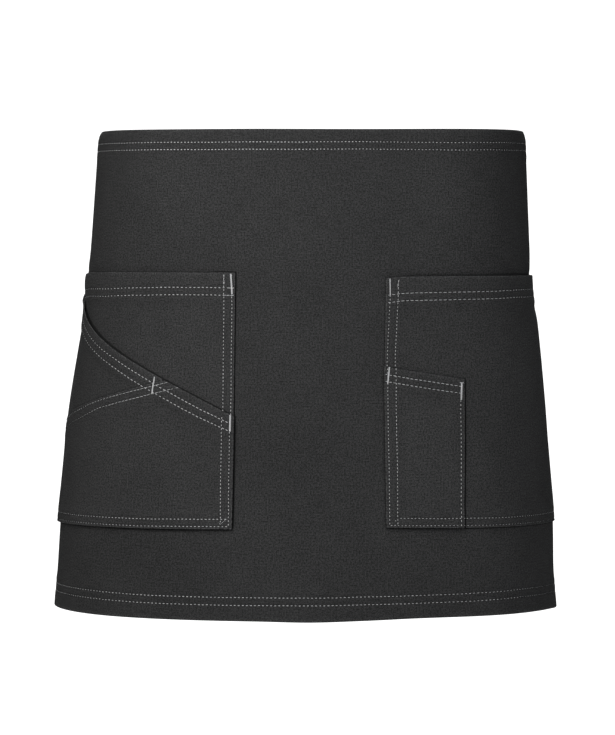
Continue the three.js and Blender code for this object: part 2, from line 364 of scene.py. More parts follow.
def panel_rows_pull(across, drop):
    waist = np.interp(across, STRAY["across"], STRAY["waist"])
    bottom = np.interp(across, STRAY["across"], STRAY["bottom"])
    rows = [pulled(drop - row - waist) for row in WAIST_ROWS]
    rows += [pulled(drop - row - bottom) for row in BOTTOM_ROWS]
    rows += [pulled(np.abs(across) - END_ROW)]
    return np.max(rows, axis=0)


# Twin needles feed the two faces of a hem unevenly, so it ropes in low slanting waves
ROPE = {"high": 0.16, "long": 13.0, "slant": 0.8, "from": 1.0, "at": 6.0}
# The waves wander along the hem, and come and go
ROPE_WANDER = {"by": 1.7, "long": 29}
ROPE_UNEVEN = {"mean": 0.65, "by": 0.35, "long": 17, "turn": 0.8}


def roped(across, drop):
    up = PANEL["drop"] - drop
    waist = within(drop, PANEL["waist_hem"], HEM_SOFT) * eased(drop, ROPE["from"], ROPE["at"])
    bottom = within(up, PANEL["bottom_hem"], HEM_SOFT) * eased(up, ROPE["from"], ROPE["at"])
    wandering = ROPE_WANDER["by"] * np.sin(across / ROPE_WANDER["long"])
    wave = np.sin(2 * math.pi * (across + ROPE["slant"] * drop) / ROPE["long"] + wandering)
    uneven = np.sin(across / ROPE_UNEVEN["long"] + ROPE_UNEVEN["turn"])
    uneven = ROPE_UNEVEN["mean"] + ROPE_UNEVEN["by"] * uneven
    return ROPE["high"] * wave * uneven * np.maximum(waist, bottom)


HEM_PUFF = 0.14


def panel_lift(across, drop):
    """The panel's outer face, with the swell of its hems and the dents at the pocket mouths."""
    puff = HEM_PUFF * (panel_layers(across, drop, HEM_SOFT) - 1)
    return puff + roped(across, drop) - mouth_dent(across, drop)


panel_edge = np.minimum(panel_drop, PANEL["drop"] - panel_drop)
panel_edge = np.minimum(panel_edge, PANEL["half"] - np.abs(panel_across))
panel_thick = CLOTH * panel_layers(panel_across, panel_drop, HEM_SHARP)
panel_curl = curled(panel_edge, panel_thick / 2)
panel_pull = panel_rows_pull(panel_across, panel_drop)
# How far from a fold its rubbed paler edge, partly a painted highlight, reaches
FOLD_REACH = 0.8

# Outlines of the pockets, as flat places and straight edges
POCKET = {"inner": 62.0, "outer": 282.0, "hem": 22.0, "turn": 11.0, "gap": 0.25, "hems": 2}
LEFT_TOP = {"across": (62.0, 215.0, 245.0, 282.0), "drop": (118.7, 119.3, 120.8, 121.2)}
LEFT_BOTTOM = (328.9, 332.4)
LEFT_INNER = {"drop": (119.0, 238.0, 331.0), "across": (61.6, 63.0, 64.3)}
LEFT_FRONT_INNER = {"drop": (119.0, 238.0, 331.0), "across": (61.1, 62.3, 64.1)}
LEFT_MOUTH = (236.8, 130.3)
RIGHT_TOP = {"across": (62.0, 78.0, 120.0, 282.0), "drop": (123.5, 122.4, 121.9, 122.0)}
RIGHT_BOTTOM = (327.8, 332.2)
RIGHT_INNER = {"drop": (122.0, 200.0, 331.0), "across": (62.8, 61.6, 63.6)}


def edge_line(ends, inner=POCKET["inner"], outer=POCKET["outer"]):
    """The drop of a straight edge between its drops at the inner and outer ends of a pocket."""
    return lambda across: ends[0] + (ends[1] - ends[0]) * (np.abs(across) - inner) / (outer - inner)


def edge_curve(table):
    """The drop of a curved edge, from its drops at some distances from centre front."""
    return lambda across: smooth_curve(table["across"], table["drop"], np.abs(across))


def sewn_edge(table):
    """The distance of a pocket's inner sewn edge from centre front."""
    return lambda drop: np.interp(drop, table["drop"], table["across"])


left_top = edge_curve(LEFT_TOP)
left_bottom = edge_line(LEFT_BOTTOM)
left_inner = sewn_edge(LEFT_INNER)
left_front_inner = sewn_edge(LEFT_FRONT_INNER)
left_mouth = edge_line(LEFT_MOUTH)
right_top = edge_curve(RIGHT_TOP)
right_bottom = edge_line(RIGHT_BOTTOM)
right_inner = sewn_edge(RIGHT_INNER)

# Painted shade darkens the cloth in the crease along an edge sewn onto it: how wide and how dark it is at
# each edge
CREASE_SHADE = {
    "left": {
        "side": (1.05, 0.75),
        "front": (1.5, 0.75),
        "foot": (1.2, 0.4),
        "mouth": (1.2, 0.3),
        "corner": 0.4,
    },
    "right": {
        "side": (1.1, 0.12),
        "front": (1.1, 0.12),
        "foot": (1.2, 0.6),
        "mouth": (2.4, 0.4),
        "corner": -0.2,
    },
}
# Near a pocket's inner end the painted shade under its mouth is changed by the corner amount, fading out
# over this reach
CREASE_SHADE_CORNER = {"from": 8, "at": 35}


def darkest(sides):
    """How far past the nearest edge a place is, in crease widths, and how dark that edge's painted crease
    shade is.
    """
    beyond = np.array([far / wide for far, wide, dark in sides])
    nearest = beyond.argmax(axis=0)
    shades = [np.broadcast_to(dark, nearest.shape) for far, wide, dark in sides]
    return beyond.max(axis=0), np.choose(nearest, shades)


# Painted shade in the creases along the pocket edges sewn onto the panel
def panel_crease_shade(across, drop):
    place = np.abs(across)
    marks = []
    for name, top, bottom in (("left", left_top, left_bottom), ("right", right_top, right_bottom)):
        size = CREASE_SHADE[name]
        inner = right_inner(drop)
        low = 0
        if name == "left":
            low = drop > left_mouth(across)
            inner = np.where(low, left_front_inner(drop), left_inner(drop))
        side = [np.where(low, front, back) for back, front in zip(size["side"], size["front"])]
        along = place - POCKET["inner"]
        corner = 1 - eased(along, CREASE_SHADE_CORNER["from"], CREASE_SHADE_CORNER["at"])
        mouth_dark = size["mouth"][1] + size["corner"] * corner
        marks.append(
            darkest(
                [
                    (inner - place, *side),
                    (drop - bottom(across), *size["foot"]),
                    (top(across) - drop, size["mouth"][0], mouth_dark),
                    (place - POCKET["outer"], *size["side"]),
                ]
            )
        )
    left, right = marks
    return np.where(across < 0, left[0], right[0]), np.where(across < 0, left[1], right[1])


panel = cloth_sheet(
    "panel_cloth",
    panel_across,
    panel_drop,
    panel_lift(panel_across, panel_drop) - panel_curl - panel_pull,
    panel_thick - 2 * panel_curl - 2 * panel_pull,
    np.exp(-panel_edge / FOLD_REACH),
    panel_pull / STITCH_PULL,
    panel_crease_shade(panel_across, panel_drop),
)


def new_group(name, inputs, outputs):
    """An empty shader group with its named sockets."""
    group = bpy.data.node_groups.new(name, "ShaderNodeTree")
    for label, kind in inputs:
        group.interface.new_socket(label, in_out="INPUT", socket_type=kind)
    for label, kind in outputs:
        group.interface.new_socket(label, in_out="OUTPUT", socket_type=kind)
    source = group.nodes.new("NodeGroupInput")
    target = group.nodes.new("NodeGroupOutput")
    return group, source.outputs, target.inputs


def wire(tree, node_type, settings, inputs):
    """Adds a node, with settings on the node and values or links on its inputs."""
    node = tree.nodes.new(node_type)
    for label, value in settings.items():
        setattr(node, label, value)
    for key, value in inputs.items():
        if isinstance(value, bpy.types.NodeSocket):
            tree.links.new(value, node.inputs[key])
        else:
            node.inputs[key].default_value = value
    return node


def math_node(tree, operation, *values):
    return wire(tree, "ShaderNodeMath", {"operation": operation}, dict(enumerate(values))).outputs[0]


def remap(tree, value, from_low, from_high, to_low, to_high):
    places = {0: value, 1: from_low, 2: from_high, 3: to_low, 4: to_high}
    return wire(tree, "ShaderNodeMapRange", {}, places).outputs[0]


def stretched_noise(tree, place, stretch, detail):
    """Noise on a place stretched by a different count of grains a metre in each direction."""
    scaled = wire(
        tree, "ShaderNodeVectorMath", {"operation": "MULTIPLY"}, {0: place, 1: stretch}
    ).outputs[0]
    settings = {"noise_dimensions": "2D"}
    inputs = {"Vector": scaled, "Scale": 1.0, "Detail": detail, "Roughness": 0.6}
    return wire(tree, "ShaderNodeTexNoise", settings, inputs).outputs[0]


def new_material(name):
    """A new material, its node tree and its shader."""
    material = bpy.data.materials.new(name)
    material.use_nodes = True
    return material, material.node_tree, material.node_tree.nodes["Principled BSDF"]


def own_place(tree):
    """A piece's own UV map: flat places in metres on cloth, places round and along a stitch on thread."""
    return wire(tree, "ShaderNodeUVMap", {"uv_map": "UVMap"}, {}).outputs[0]


def own_mark(tree, label):
    """A value marked on a piece's vertices."""
    return wire(tree, "ShaderNodeAttribute", {"attribute_name": label}, {}).outputs["Fac"]


def blended(tree, share, first, second):
    """A colour between two others."""
    inputs = {"Factor": share, 6: (*first, 1), 7: (*second, 1)}
    return wire(tree, "ShaderNodeMix", {"data_type": "RGBA"}, inputs).outputs[2]


def shaded(tree, colour, shade):
    """A colour made lighter or darker."""
    return wire(tree, "ShaderNodeVectorMath", {"operation": "SCALE"}, {0: colour, "Scale": shade}).outputs[0]


def add_bump(tree, shader, strength, distance, height):
    """Fine relief on a shader, its full height given in metres."""
    bump = wire(tree, "ShaderNodeBump", {}, {"Strength": strength, "Distance": distance, "Height": height})
    tree.links.new(bump.outputs[0], shader.inputs["Normal"])


# Two-up one-down twill: each yarn crosses over two and under one, a step further on at each row
YARN_PITCH = 0.00056
TWILL_REPEAT = 3.0
# Uneven yarn: grains a metre in each direction, and the shades they make
WEAVE = {
    "grain": (820.0, 820.0, 1.0),
    "warp_slub": (950.0, 70.0, 1.0),
    "weft_slub": (60.0, 900.0, 1.0),
    "slub_high": 0.8,
    "slub_from": (0.35, 0.65),
    "slub_shade": (0.86, 1.14),
    "yarn_shade": (0.86, 1.05),
}


def yarn_back(tree, place):
    """The round back of a yarn across its width."""
    turn = math_node(tree, "MULTIPLY", place, math.pi)
    return math_node(tree, "ABSOLUTE", math_node(tree, "SINE", turn))


def build_twill_weave():
    group, given, made = new_group(
        "twill_weave",
        (("Place", "NodeSocketVector"), ("Yarn Pitch", "NodeSocketFloat")),
        (("Height", "NodeSocketFloat"), ("Shade", "NodeSocketFloat"), ("Grain", "NodeSocketFloat")),
    )
    split = wire(group, "ShaderNodeSeparateXYZ", {}, {0: given["Place"]})
    warp = math_node(group, "DIVIDE", split.outputs[0], given["Yarn Pitch"])
    weft = math_node(group, "DIVIDE", split.outputs[1], given["Yarn Pitch"])
    step = math_node(group, "ADD", math_node(group, "FLOOR", warp), math_node(group, "FLOOR", weft))
    turn = math_node(group, "FRACT", math_node(group, "DIVIDE", step, TWILL_REPEAT))
    warp_up = math_node(group, "GREATER_THAN", turn, 0.2)
    backs = {0: warp_up, 2: yarn_back(group, weft), 3: yarn_back(group, warp)}
    over = wire(group, "ShaderNodeMix", {}, backs).outputs[0]
    grain = stretched_noise(group, given["Place"], WEAVE["grain"], 1.5)
    warp_slub = stretched_noise(group, given["Place"], WEAVE["warp_slub"], 1.0)
    weft_slub = stretched_noise(group, given["Place"], WEAVE["weft_slub"], 1.0)
    both = math_node(group, "ADD", warp_slub, weft_slub)
    slub = math_node(group, "MULTIPLY", both, 0.5)
    height = math_node(group, "ADD", over, math_node(group, "MULTIPLY", slub, WEAVE["slub_high"]))
    group.links.new(height, made["Height"])
    yarn_shade = remap(group, warp_up, 0.0, 1.0, *WEAVE["yarn_shade"])
    slub_shade = remap(group, slub, *WEAVE["slub_from"], *WEAVE["slub_shade"])
    group.links.new(math_node(group, "MULTIPLY", yarn_shade, slub_shade), made["Shade"])
    group.links.new(grain, made["Grain"])
    return group


TWILL_WEAVE = build_twill_weave()
TWILL_COLOUR = (0.0335, 0.0335, 0.0335)
# Colour of rubbed fold edges, which also paints the highlight the folds catch
WORN_AND_HIGHLIGHT_COLOUR = (0.065, 0.065, 0.065)
NOISE_FROM = (0.3, 0.7)
# Shades of the cloth: its grain, broad blotches, painted shade in the grooves its stitches pull in, rubbed
# folds made paler also as a painted highlight, and painted shade in the creases along sewn edges
TWILL = {
    "grain": (0.5, 1.5),
    "blotches": (11.0, 9.0, 1.0),
    "blotch": (0.92, 1.08),
    "sewn": (1.0, 0.84),
    "rub_and_highlight_from": (0.35, 0.65),
    "rub_and_highlight": (0.3, 0.9),
    "crease_shade_from": (0.45, 1.0),
    "rough": (0.84, 0.96),
    "gloss": 0.08,
    "bump": 0.5,
    "bump_high": 0.0002,
}


def woven(tree, flat, yarn_pitch):
    """The twill weave at a flat place."""
    inputs = {"Place": flat, "Yarn Pitch": yarn_pitch}
    return wire(tree, "ShaderNodeGroup", {"node_tree": TWILL_WEAVE}, inputs).outputs


def build_twill(name, colour):
    material, tree, shader = new_material(name)
    flat = own_place(tree)
    weave = woven(tree, flat, YARN_PITCH)
    grain = remap(tree, weave["Grain"], *NOISE_FROM, *TWILL["grain"])
    blotches = stretched_noise(tree, flat, TWILL["blotches"], 2.0)
    blotch = remap(tree, blotches, *NOISE_FROM, *TWILL["blotch"])
    # Painted shade in the grooves that the stitch rows pull in
    sewn = remap(tree, own_mark(tree, "sewn"), 0.0, 1.0, *TWILL["sewn"])
    # Painted shade in the crease along an edge sewn onto the cloth
    near = remap(tree, own_mark(tree, "beyond"), *TWILL["crease_shade_from"], 1.0, 0.0)
    crease_shade = math_node(tree, "MULTIPLY", own_mark(tree, "crease_shade"), near)
    shade = math_node(tree, "MULTIPLY", weave["Shade"], math_node(tree, "MULTIPLY", grain, blotch))
    shade = math_node(tree, "MULTIPLY", shade, sewn)
    shade = math_node(tree, "MULTIPLY", shade, math_node(tree, "SUBTRACT", 1.0, crease_shade))
    # Rubbed fold edges are paler, partly wear and partly a painted highlight
    rub_and_highlight = remap(tree, weave["Grain"], *TWILL["rub_and_highlight_from"], *TWILL["rub_and_highlight"])
    rubbed_and_highlit = math_node(tree, "MULTIPLY", own_mark(tree, "fold"), rub_and_highlight)
    base = blended(tree, rubbed_and_highlit, colour, WORN_AND_HIGHLIGHT_COLOUR)
    tree.links.new(shaded(tree, base, shade), shader.inputs["Base Color"])
    tree.links.new(remap(tree, weave["Grain"], *NOISE_FROM, *TWILL["rough"]), shader.inputs["Roughness"])
    add_bump(tree, shader, TWILL["bump"], TWILL["bump_high"], weave["Height"])
    shader.inputs["Specular IOR Level"].default_value = TWILL["gloss"]
    return material


panel.data.materials.append(build_twill("charcoal_twill", TWILL_COLOUR))
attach(panel, "root")
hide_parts("apron_panel")

# Seam thread on the panel
# Light grey lockstitch, about 3 mm a stitch, in twin rows 6.4 mm apart along the waist and the bottom and
# in one row down each end. The needle thread shows outside and the bobbin thread inside.

STITCH = {"pitch": 3.0, "shows": 0.58, "thick": 0.22, "flat": 0.85, "dip": 0.32, "proud": 0.08}
STITCH_SIDES = 6
STITCH_RINGS = 5
THREAD_FIELDS = ("across", "drop", "to_across", "to_drop", "half", "thick", "lift", "facing")
wander = np.random.default_rng(26)


def model_stitch():
    """One stitch along X, of unit half-length and unit thickness, as places, faces and corner UVs."""
    deselect_all()
    bpy.ops.mesh.primitive_uv_sphere_add(
        segments=STITCH_SIDES, ring_count=STITCH_RINGS, radius=1, rotation=(0, math.pi / 2, 0)
    )
    bpy.ops.object.transform_apply(location=False, rotation=True, scale=False)
    sample = bpy.context.object
    mesh = sample.data
    places = np.array([v.co for v in mesh.vertices])
    faces = [tuple(p.vertices) for p in mesh.polygons]
    marks = np.array([d.uv for d in mesh.uv_layers.active.data])
    bpy.data.objects.remove(sample)
    bpy.data.meshes.remove(mesh)
    along = places[:, 0]
    girth = np.hypot(places[:, 1], places[:, 2])
    fuller = np.sqrt(np.clip(1 - along**4, 0, 1)) / np.maximum(girth, 1e-6)
    places[:, 1:] *= np.where(girth > 1e-6, fuller, 1)[:, None]
    return places, faces, marks


STITCH_PLACES, STITCH_FACES, STITCH_MARKS = model_stitch()


# Round the sides stitches are longer, thinner and lie deeper
SIDE_STITCH = {"from": 120.0, "at": 245.0, "thin": 0.28, "deep": 0.1}
SIDE_LENGTH = {"from": 60.0, "at": 200.0, "waist": 0.25, "bottom": 0.12}


def side_length(across, drop):
    """How much longer stitches are at a flat place than at the front."""
    low = drop / PANEL["drop"]
    longer = SIDE_LENGTH["waist"] * (1 - low) + SIDE_LENGTH["bottom"] * low
    return 1 + longer * eased(np.abs(across), SIDE_LENGTH["from"], SIDE_LENGTH["at"])


# Stitches stray in two slow waves, and each is a little out of place, turned and uneven
STRAY_LONG = (31, 11)
STRAY_SECOND = 0.6
STITCH_OUT = 0.05
STITCH_LEAN = 0.045
UNEVEN = (0.92, 1.08)


def along_cloth(value, across):
    """A value that may change along the cloth."""
    return value(across) if callable(value) else value


def stitch_row(path, lift, facing, pitch, stray, phase, bold=1.0, shows=STITCH["shows"]):
    """Stitches along a flat path, on the face that lift gives for a flat place."""
    path = np.array(path, float)
    steps = np.hypot(*np.diff(path, axis=0).T)
    reach = np.concatenate(([0], np.cumsum(steps)))
    fine = np.linspace(0, reach[-1], max(8, int(reach[-1])))
    fine_across = np.interp(fine, reach, path[:, 0])
    fine_drop = np.interp(fine, reach, path[:, 1])
    often = 1 / (pitch * side_length(fine_across, fine_drop))
    sewn = np.concatenate(([0], np.cumsum((often[1:] + often[:-1]) / 2 * np.diff(fine))))
    count = max(1, round(sewn[-1]))
    middle = np.interp((np.arange(count) + 0.5) * sewn[-1] / count, sewn, fine)
    across = np.interp(middle, reach, path[:, 0])
    drop = np.interp(middle, reach, path[:, 1])
    ahead = np.minimum(middle + 0.5, reach[-1])
    behind = np.maximum(middle - 0.5, 0)
    to_across = np.interp(ahead, reach, path[:, 0]) - np.interp(behind, reach, path[:, 0])
    to_drop = np.interp(ahead, reach, path[:, 1]) - np.interp(behind, reach, path[:, 1])
    size = np.hypot(to_across, to_drop)
    to_across = to_across / size
    to_drop = to_drop / size
    first, second = (np.sin(middle / STRAY_LONG[i] + phase[i]) for i in (0, 1))
    drift = stray * (first + STRAY_SECOND * second)
    drift += wander.normal(0, STITCH_OUT, count)
    across = across - drift * to_drop
    drop = drop + drift * to_across
    lean = wander.normal(0, STITCH_LEAN, count)
    side = eased(np.abs(across), SIDE_STITCH["from"], SIDE_STITCH["at"])
    thick = STITCH["thick"] * (1 - SIDE_STITCH["thin"] * side)
    half = pitch * side_length(across, drop) * along_cloth(shows, across) / 2
    rows = (
        across,
        drop,
        to_across - lean * to_drop,
        to_drop + lean * to_across,
        half * wander.uniform(*UNEVEN, count),
        along_cloth(bold, across) * thick * wander.uniform(*UNEVEN, count),
        lift(across, drop) - facing * SIDE_STITCH["deep"] * side,
        np.full(count, facing),
    )
    return np.column_stack(rows)


def stitch_rows(paths, lift, facing=1, pitch=STITCH["pitch"], stray=0.12, bold=1.0, shows=STITCH["shows"]):
    """Rows sewn side by side in one run, so that they stray together."""
    phase = wander.uniform(0, 2 * math.pi, 2)
    rows = [stitch_row(path, lift, facing, pitch, stray, phase, bold, shows) for path in paths]
    return np.concatenate(rows)


def unit(vectors):
    return vectors / np.linalg.norm(vectors, axis=-1, keepdims=True)


def face_outward():
    """Turns the faces of the active piece outward."""
    bpy.ops.object.mode_set(mode="EDIT")
    bpy.ops.mesh.select_all(action="SELECT")
    bpy.ops.mesh.normals_make_consistent(inside=False)
    bpy.ops.object.mode_set(mode="OBJECT")


def sew(name, *rows):
    """One joined mesh of every stitch in the rows."""
    threads = dict(zip(THREAD_FIELDS, np.concatenate(rows).T))
    across = threads["across"]
    drop = threads["drop"]
    lift = threads["lift"] + threads["facing"] * STITCH["proud"]
    centre = worn(across, drop, lift)
    ahead = worn(across + threads["to_across"], drop + threads["to_drop"], lift)
    behind = worn(across - threads["to_across"], drop - threads["to_drop"], lift)
    along = unit(ahead - behind)
    out = unit(worn(across, drop, lift + 1) - centre) * threads["facing"][:, None]
    side = unit(np.cross(out, along))
    out = np.cross(along, side)
    shape = STITCH_PLACES[None, :, :]
    bend = STITCH["dip"] * np.abs(shape[..., 0]) ** 3
    along_by = shape[..., 0] * threads["half"][:, None]
    side_by = shape[..., 1] * threads["thick"][:, None]
    out_by = shape[..., 2] * threads["thick"][:, None] * STITCH["flat"] - bend
    places = centre[:, None, :] + MM * (
        along_by[..., None] * along[:, None, :]
        + side_by[..., None] * side[:, None, :]
        + out_by[..., None] * out[:, None, :]
    )
    count = len(across)
    each = len(STITCH_PLACES)
    faces = [tuple(v + each * i for v in face) for i in range(count) for face in STITCH_FACES]
    mesh = bpy.data.meshes.new(name)
    mesh.from_pydata(places.reshape(-1, 3).tolist(), [], faces)
    uv = mesh.uv_layers.new(name="UVMap")
    uv.data.foreach_set("uv", np.tile(STITCH_MARKS, (count, 1)).astype(np.float32).ravel())
    tone = mesh.attributes.new("tone", "FLOAT", "POINT")
    tones = np.repeat(wander.uniform(0.0, 1.0, count), each)
    tone.data.foreach_set("value", tones.astype(np.float32))
    piece = bpy.data.objects.new(name, mesh)
    bpy.context.scene.collection.objects.link(piece)
    deselect_all()
    piece.select_set(True)
    bpy.context.view_layer.objects.active = piece
    face_outward()
    bpy.ops.object.shade_smooth()
    piece.data.materials.append(THREAD)
    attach(piece, "root")
    return piece


THREAD_COLOUR = (0.66, 0.66, 0.665)
THREAD_DARK = (0.42, 0.42, 0.425)
# Strands twisted round each stitch, with painted shade darkening the grooves between them and their crests
# left lighter, and how much they and each stitch's own tone lighten it
STRANDS = {
    "round": 3.0,
    "along": 4.0,
    "pale": 0.7,
    "own_pale": 0.3,
    "rough": (0.75, 0.55),
    "gloss": 0.3,
    "bump": 0.5,
    "bump_high": 0.0001,
}


def build_thread():
    material, tree, shader = new_material("light_grey_thread")
    split = wire(tree, "ShaderNodeSeparateXYZ", {}, {0: own_place(tree)})
    around = math_node(tree, "MULTIPLY", split.outputs[0], STRANDS["round"])
    along = math_node(tree, "MULTIPLY", split.outputs[1], STRANDS["along"])
    twist = math_node(tree, "FRACT", math_node(tree, "ADD", around, along))
    # Painted shade: each strand is lighter on its crest and darker in the grooves between strands
    strand = math_node(tree, "SINE", math_node(tree, "MULTIPLY", twist, math.pi))
    by_strand = remap(tree, strand, 0.0, 1.0, 0.0, STRANDS["pale"])
    by_stitch = remap(tree, own_mark(tree, "tone"), 0.0, 1.0, 0.0, STRANDS["own_pale"])
    pale = math_node(tree, "ADD", by_strand, by_stitch)
    tree.links.new(blended(tree, pale, THREAD_DARK, THREAD_COLOUR), shader.inputs["Base Color"])
    tree.links.new(remap(tree, strand, 0.0, 1.0, *STRANDS["rough"]), shader.inputs["Roughness"])
    add_bump(tree, shader, STRANDS["bump"], STRANDS["bump_high"], strand)
    shader.inputs["Specular IOR Level"].default_value = STRANDS["gloss"]
    return material


THREAD = build_thread()


def needle_on(outside):
    """The level of the needle thread on an outer face that it pulls in."""
    return lambda across, drop: outside(across, drop) - STITCH_PULL


def panel_bobbin(across, drop):
    """The level of the bobbin thread on the panel's inner face."""
    inside = panel_lift(across, drop) - CLOTH * panel_layers(across, drop, HEM_SHARP)
    return inside + STITCH_PULL


panel_needle = needle_on(panel_lift)
ROW_END = PANEL["half"] - 1.5
WAIST_PITCH = 2.93
BOTTOM_PITCH = 3.35
BOTTOM_STRAY = 0.05
END_SHORT = 2.0
# The thread shows less where it is drawn tighter, towards the right and at the far left
WAIST_THREAD = {
    "across": (-255, -205, -30, 30, 110),
    "bold": (0.65, 1.4, 1.45, 1.15, 0.95),
    "shows": (0.45, 0.46, 0.6, 0.5, 0.48),
}
BOTTOM_THREAD = {"across": (-40, 110, 180), "bold": (1.2, 0.9, 0.75)}


def thread_along(table, column):
    """A value of the thread that changes along the cloth."""
    return lambda across: np.interp(across, table["across"], table[column])


def strayed(column, row):
    places = np.linspace(-ROW_END, ROW_END, 200)
    return list(zip(places, row + np.interp(places, STRAY["across"], STRAY[column])))


waist_paths = [strayed("waist", row) for row in WAIST_ROWS]
bottom_paths = [strayed("bottom", row) for row in BOTTOM_ROWS]
end_drops = (END_SHORT, PANEL["drop"] - END_SHORT)
end_paths = [[(side * END_ROW, drop) for drop in end_drops] for side in (-1, 1)]
waist_bold = thread_along(WAIST_THREAD, "bold")
waist_shows = thread_along(WAIST_THREAD, "shows")
bottom_bold = thread_along(BOTTOM_THREAD, "bold")
panel_thread = sew(
    "panel_thread",
    stitch_rows(waist_paths, panel_needle, pitch=WAIST_PITCH, bold=waist_bold, shows=waist_shows),
    stitch_rows(bottom_paths, panel_needle, pitch=BOTTOM_PITCH, stray=BOTTOM_STRAY, bold=bottom_bold),
    stitch_rows(end_paths, panel_needle),
    stitch_rows(waist_paths + bottom_paths + end_paths, panel_bobbin, facing=-1),
)

# Left pocket, back layer
# A patch of the same twill on the viewer's left, turned under at its sides and bottom, with a twice-turned
# hem at its straight mouth. It is sewn to the panel with twin rows and stands open a little at the mouth.

POCKET_STEP = {"across": 2.6, "drop": 2.6}
# Twin rows run along the mouth, the sides and the bottom: their even depths, and where they stray
TOP_ROWS = (13.2, 19.35)
LEFT_TOP_ROW = {
    "across": (62, 71, 85, 112, 127, 141, 156, 172, 190, 282),
    "below": (12.75, 12.75, 12.4, 12.3, 12.45, 12.95, 12.95, 13.3, 14.0, 14.0),
}
TOP_PAIR = (0.0, 6.15)
SIDE_ROWS = (3.5, 10.1)
SIDE_GAUGE = 6.75
SIDE_PAIR = (0.0, SIDE_GAUGE)
LEFT_SIDE_ROW = {"drop": (119, 140, 160, 235, 250, 331), "from_edge": (3.0, 2.6, 2.45, 2.5, 2.8, 2.75)}
FOOT_ROWS = (2.2, 8.1)
LEFT_BACK_EASE = {"mouth": 0.8, "belly": 1.6}


def bulge(ease, across, drop, top, bottom, outer=POCKET["outer"]):
    """How far a pocket layer stands off what it is sewn to, between its sewn edges."""
    w = np.clip((np.abs(across) - POCKET["inner"]) / (outer - POCKET["inner"]), 0, 1)
    q = np.clip((drop - top(across)) / (bottom(across) - top(across)), 0, 1)
    return np.sin(math.pi * w) * (ease["mouth"] * (1 - q) ** 3 + ease["belly"] * np.sin(math.pi * q))


def outlined(side, top, bottom, inner, outer=POCKET["outer"]):
    """The half of the apron that a pocket piece is on, and the piece's four edges."""
    return {"side": side, "top": top, "bottom": bottom, "inner": inner, "outer": outer}


LEFT_BACK = outlined(-1, left_top, left_bottom, left_inner)


def pocket_layers(outline, hem):
    """How many cloths thick a pocket piece is at a place, with its mouth hem and its turned edges."""

    def layers(across, drop, soft):
        place = np.abs(across)
        mouth = within(drop - outline["top"](across), hem, soft)
        inner = within(place - outline["inner"](drop), POCKET["turn"], soft)
        outer = within(outline["outer"] - place, POCKET["turn"], soft)
        foot = within(outline["bottom"](across) - drop, POCKET["turn"], soft)
        return 1 + np.maximum(POCKET["hems"] * mouth, np.maximum(np.maximum(inner, outer), foot))

    return layers


# Where a piece is short, the close levels at each of its edges take up at most this share of it
CROWD = 0.45


def pocket_grid(outline, outs, ups, downs, step):
    """Flat places of a pocket piece. outs are shares across, ups and downs are depths from its edges."""
    ups = np.array(ups)[:, None]
    downs = np.array(downs)[:, None]
    outer = outline["outer"]
    guess = POCKET["inner"] + outs * (outer - POCKET["inner"])
    high = outline["top"](guess)
    low = outline["bottom"](guess)
    crowd = np.minimum(1, CROWD * (low - high) / max(ups[-1, 0], downs[-1, 0]))
    upper = high + ups * crowd
    lower = low - downs * crowd
    count = max(2, round(np.max(lower[-1] - upper[-1]) / step))
    share = (np.arange(1, count) / count)[:, None]
    between = upper[-1] + (lower[-1] - upper[-1]) * share
    drop = np.concatenate((upper, between, lower[::-1]))
    start = outline["inner"](drop)
    across = outline["side"] * (start + outs[None, :] * (outer - start))
    if outline["side"] < 0:
        return across[:, ::-1], drop[:, ::-1]
    return across, drop


DEPTH_STEP = 1.6
PAST_ROWS = 3.0
PAST_HEM = 1.5


def depths(rows, hem):
    """Depths from an edge, closer together at its fold, its rows and its hem's fold."""
    reach = max(max(rows) + PAST_ROWS, hem + PAST_HEM)
    return spread(0, reach, DEPTH_STEP, edges=((0, 1),), rows=rows, hems=(hem,))


def pocket_outs(width, far_rows=SIDE_ROWS):
    """Shares across a pocket, closer together at its sewn edges."""
    places = spread(
        0,
        width,
        POCKET_STEP["across"],
        edges=((0, 1), (width, -1)),
        rows=SIDE_ROWS + tuple(width - r for r in far_rows),
        hems=(POCKET["turn"], width - POCKET["turn"]),
    )
    return places / width


# The pockets' cloth is coloured a little paler than the panel's
POCKET_COLOUR = (0.0374, 0.0374, 0.0374)
POCKET_TWILL = build_twill("pocket_twill", POCKET_COLOUR)
# Past its outermost row a sewn edge stands off the cloth below
FLAP = {"high": 0.3, "deep": 1.3}


def pocket_sheet(name, outline, across, drop, outside, layers, pull, thin=0.0, crease_shade=NO_CREASE_SHADE):
    """A pocket piece with curled turned edges, its stitch rows pulled in."""
    place = np.abs(across)
    edge = np.minimum(place - outline["inner"](drop), outline["outer"] - place)
    edge = np.minimum(edge, outline["bottom"](across) - drop)
    flap = FLAP["high"] * np.exp(-np.maximum(edge, 0) / FLAP["deep"])
    edge = np.maximum(np.minimum(edge, drop - outline["top"](across)), 0)
    thick = CLOTH * layers(across, drop, HEM_SHARP) - thin
    curl = curled(edge, thick / 2)
    pull = np.minimum(pull, thick / 2)
    piece = cloth_sheet(
        name,
        across,
        drop,
        outside(across, drop) + flap - thin - curl - pull,
        thick - 2 * curl - 2 * pull,
        np.exp(-edge / FOLD_REACH),
        pull / STITCH_PULL,
        crease_shade,
    )
    piece.data.materials.append(POCKET_TWILL)
    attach(piece, "root")
    return piece


def left_top_row(across):
    return left_top(across) + np.interp(np.abs(across), LEFT_TOP_ROW["across"], LEFT_TOP_ROW["below"])


def left_side_row(drop):
    """The distance of the left pocket's outermost upright row from centre front."""
    return left_inner(drop) + np.interp(drop, LEFT_SIDE_ROW["drop"], LEFT_SIDE_ROW["from_edge"])


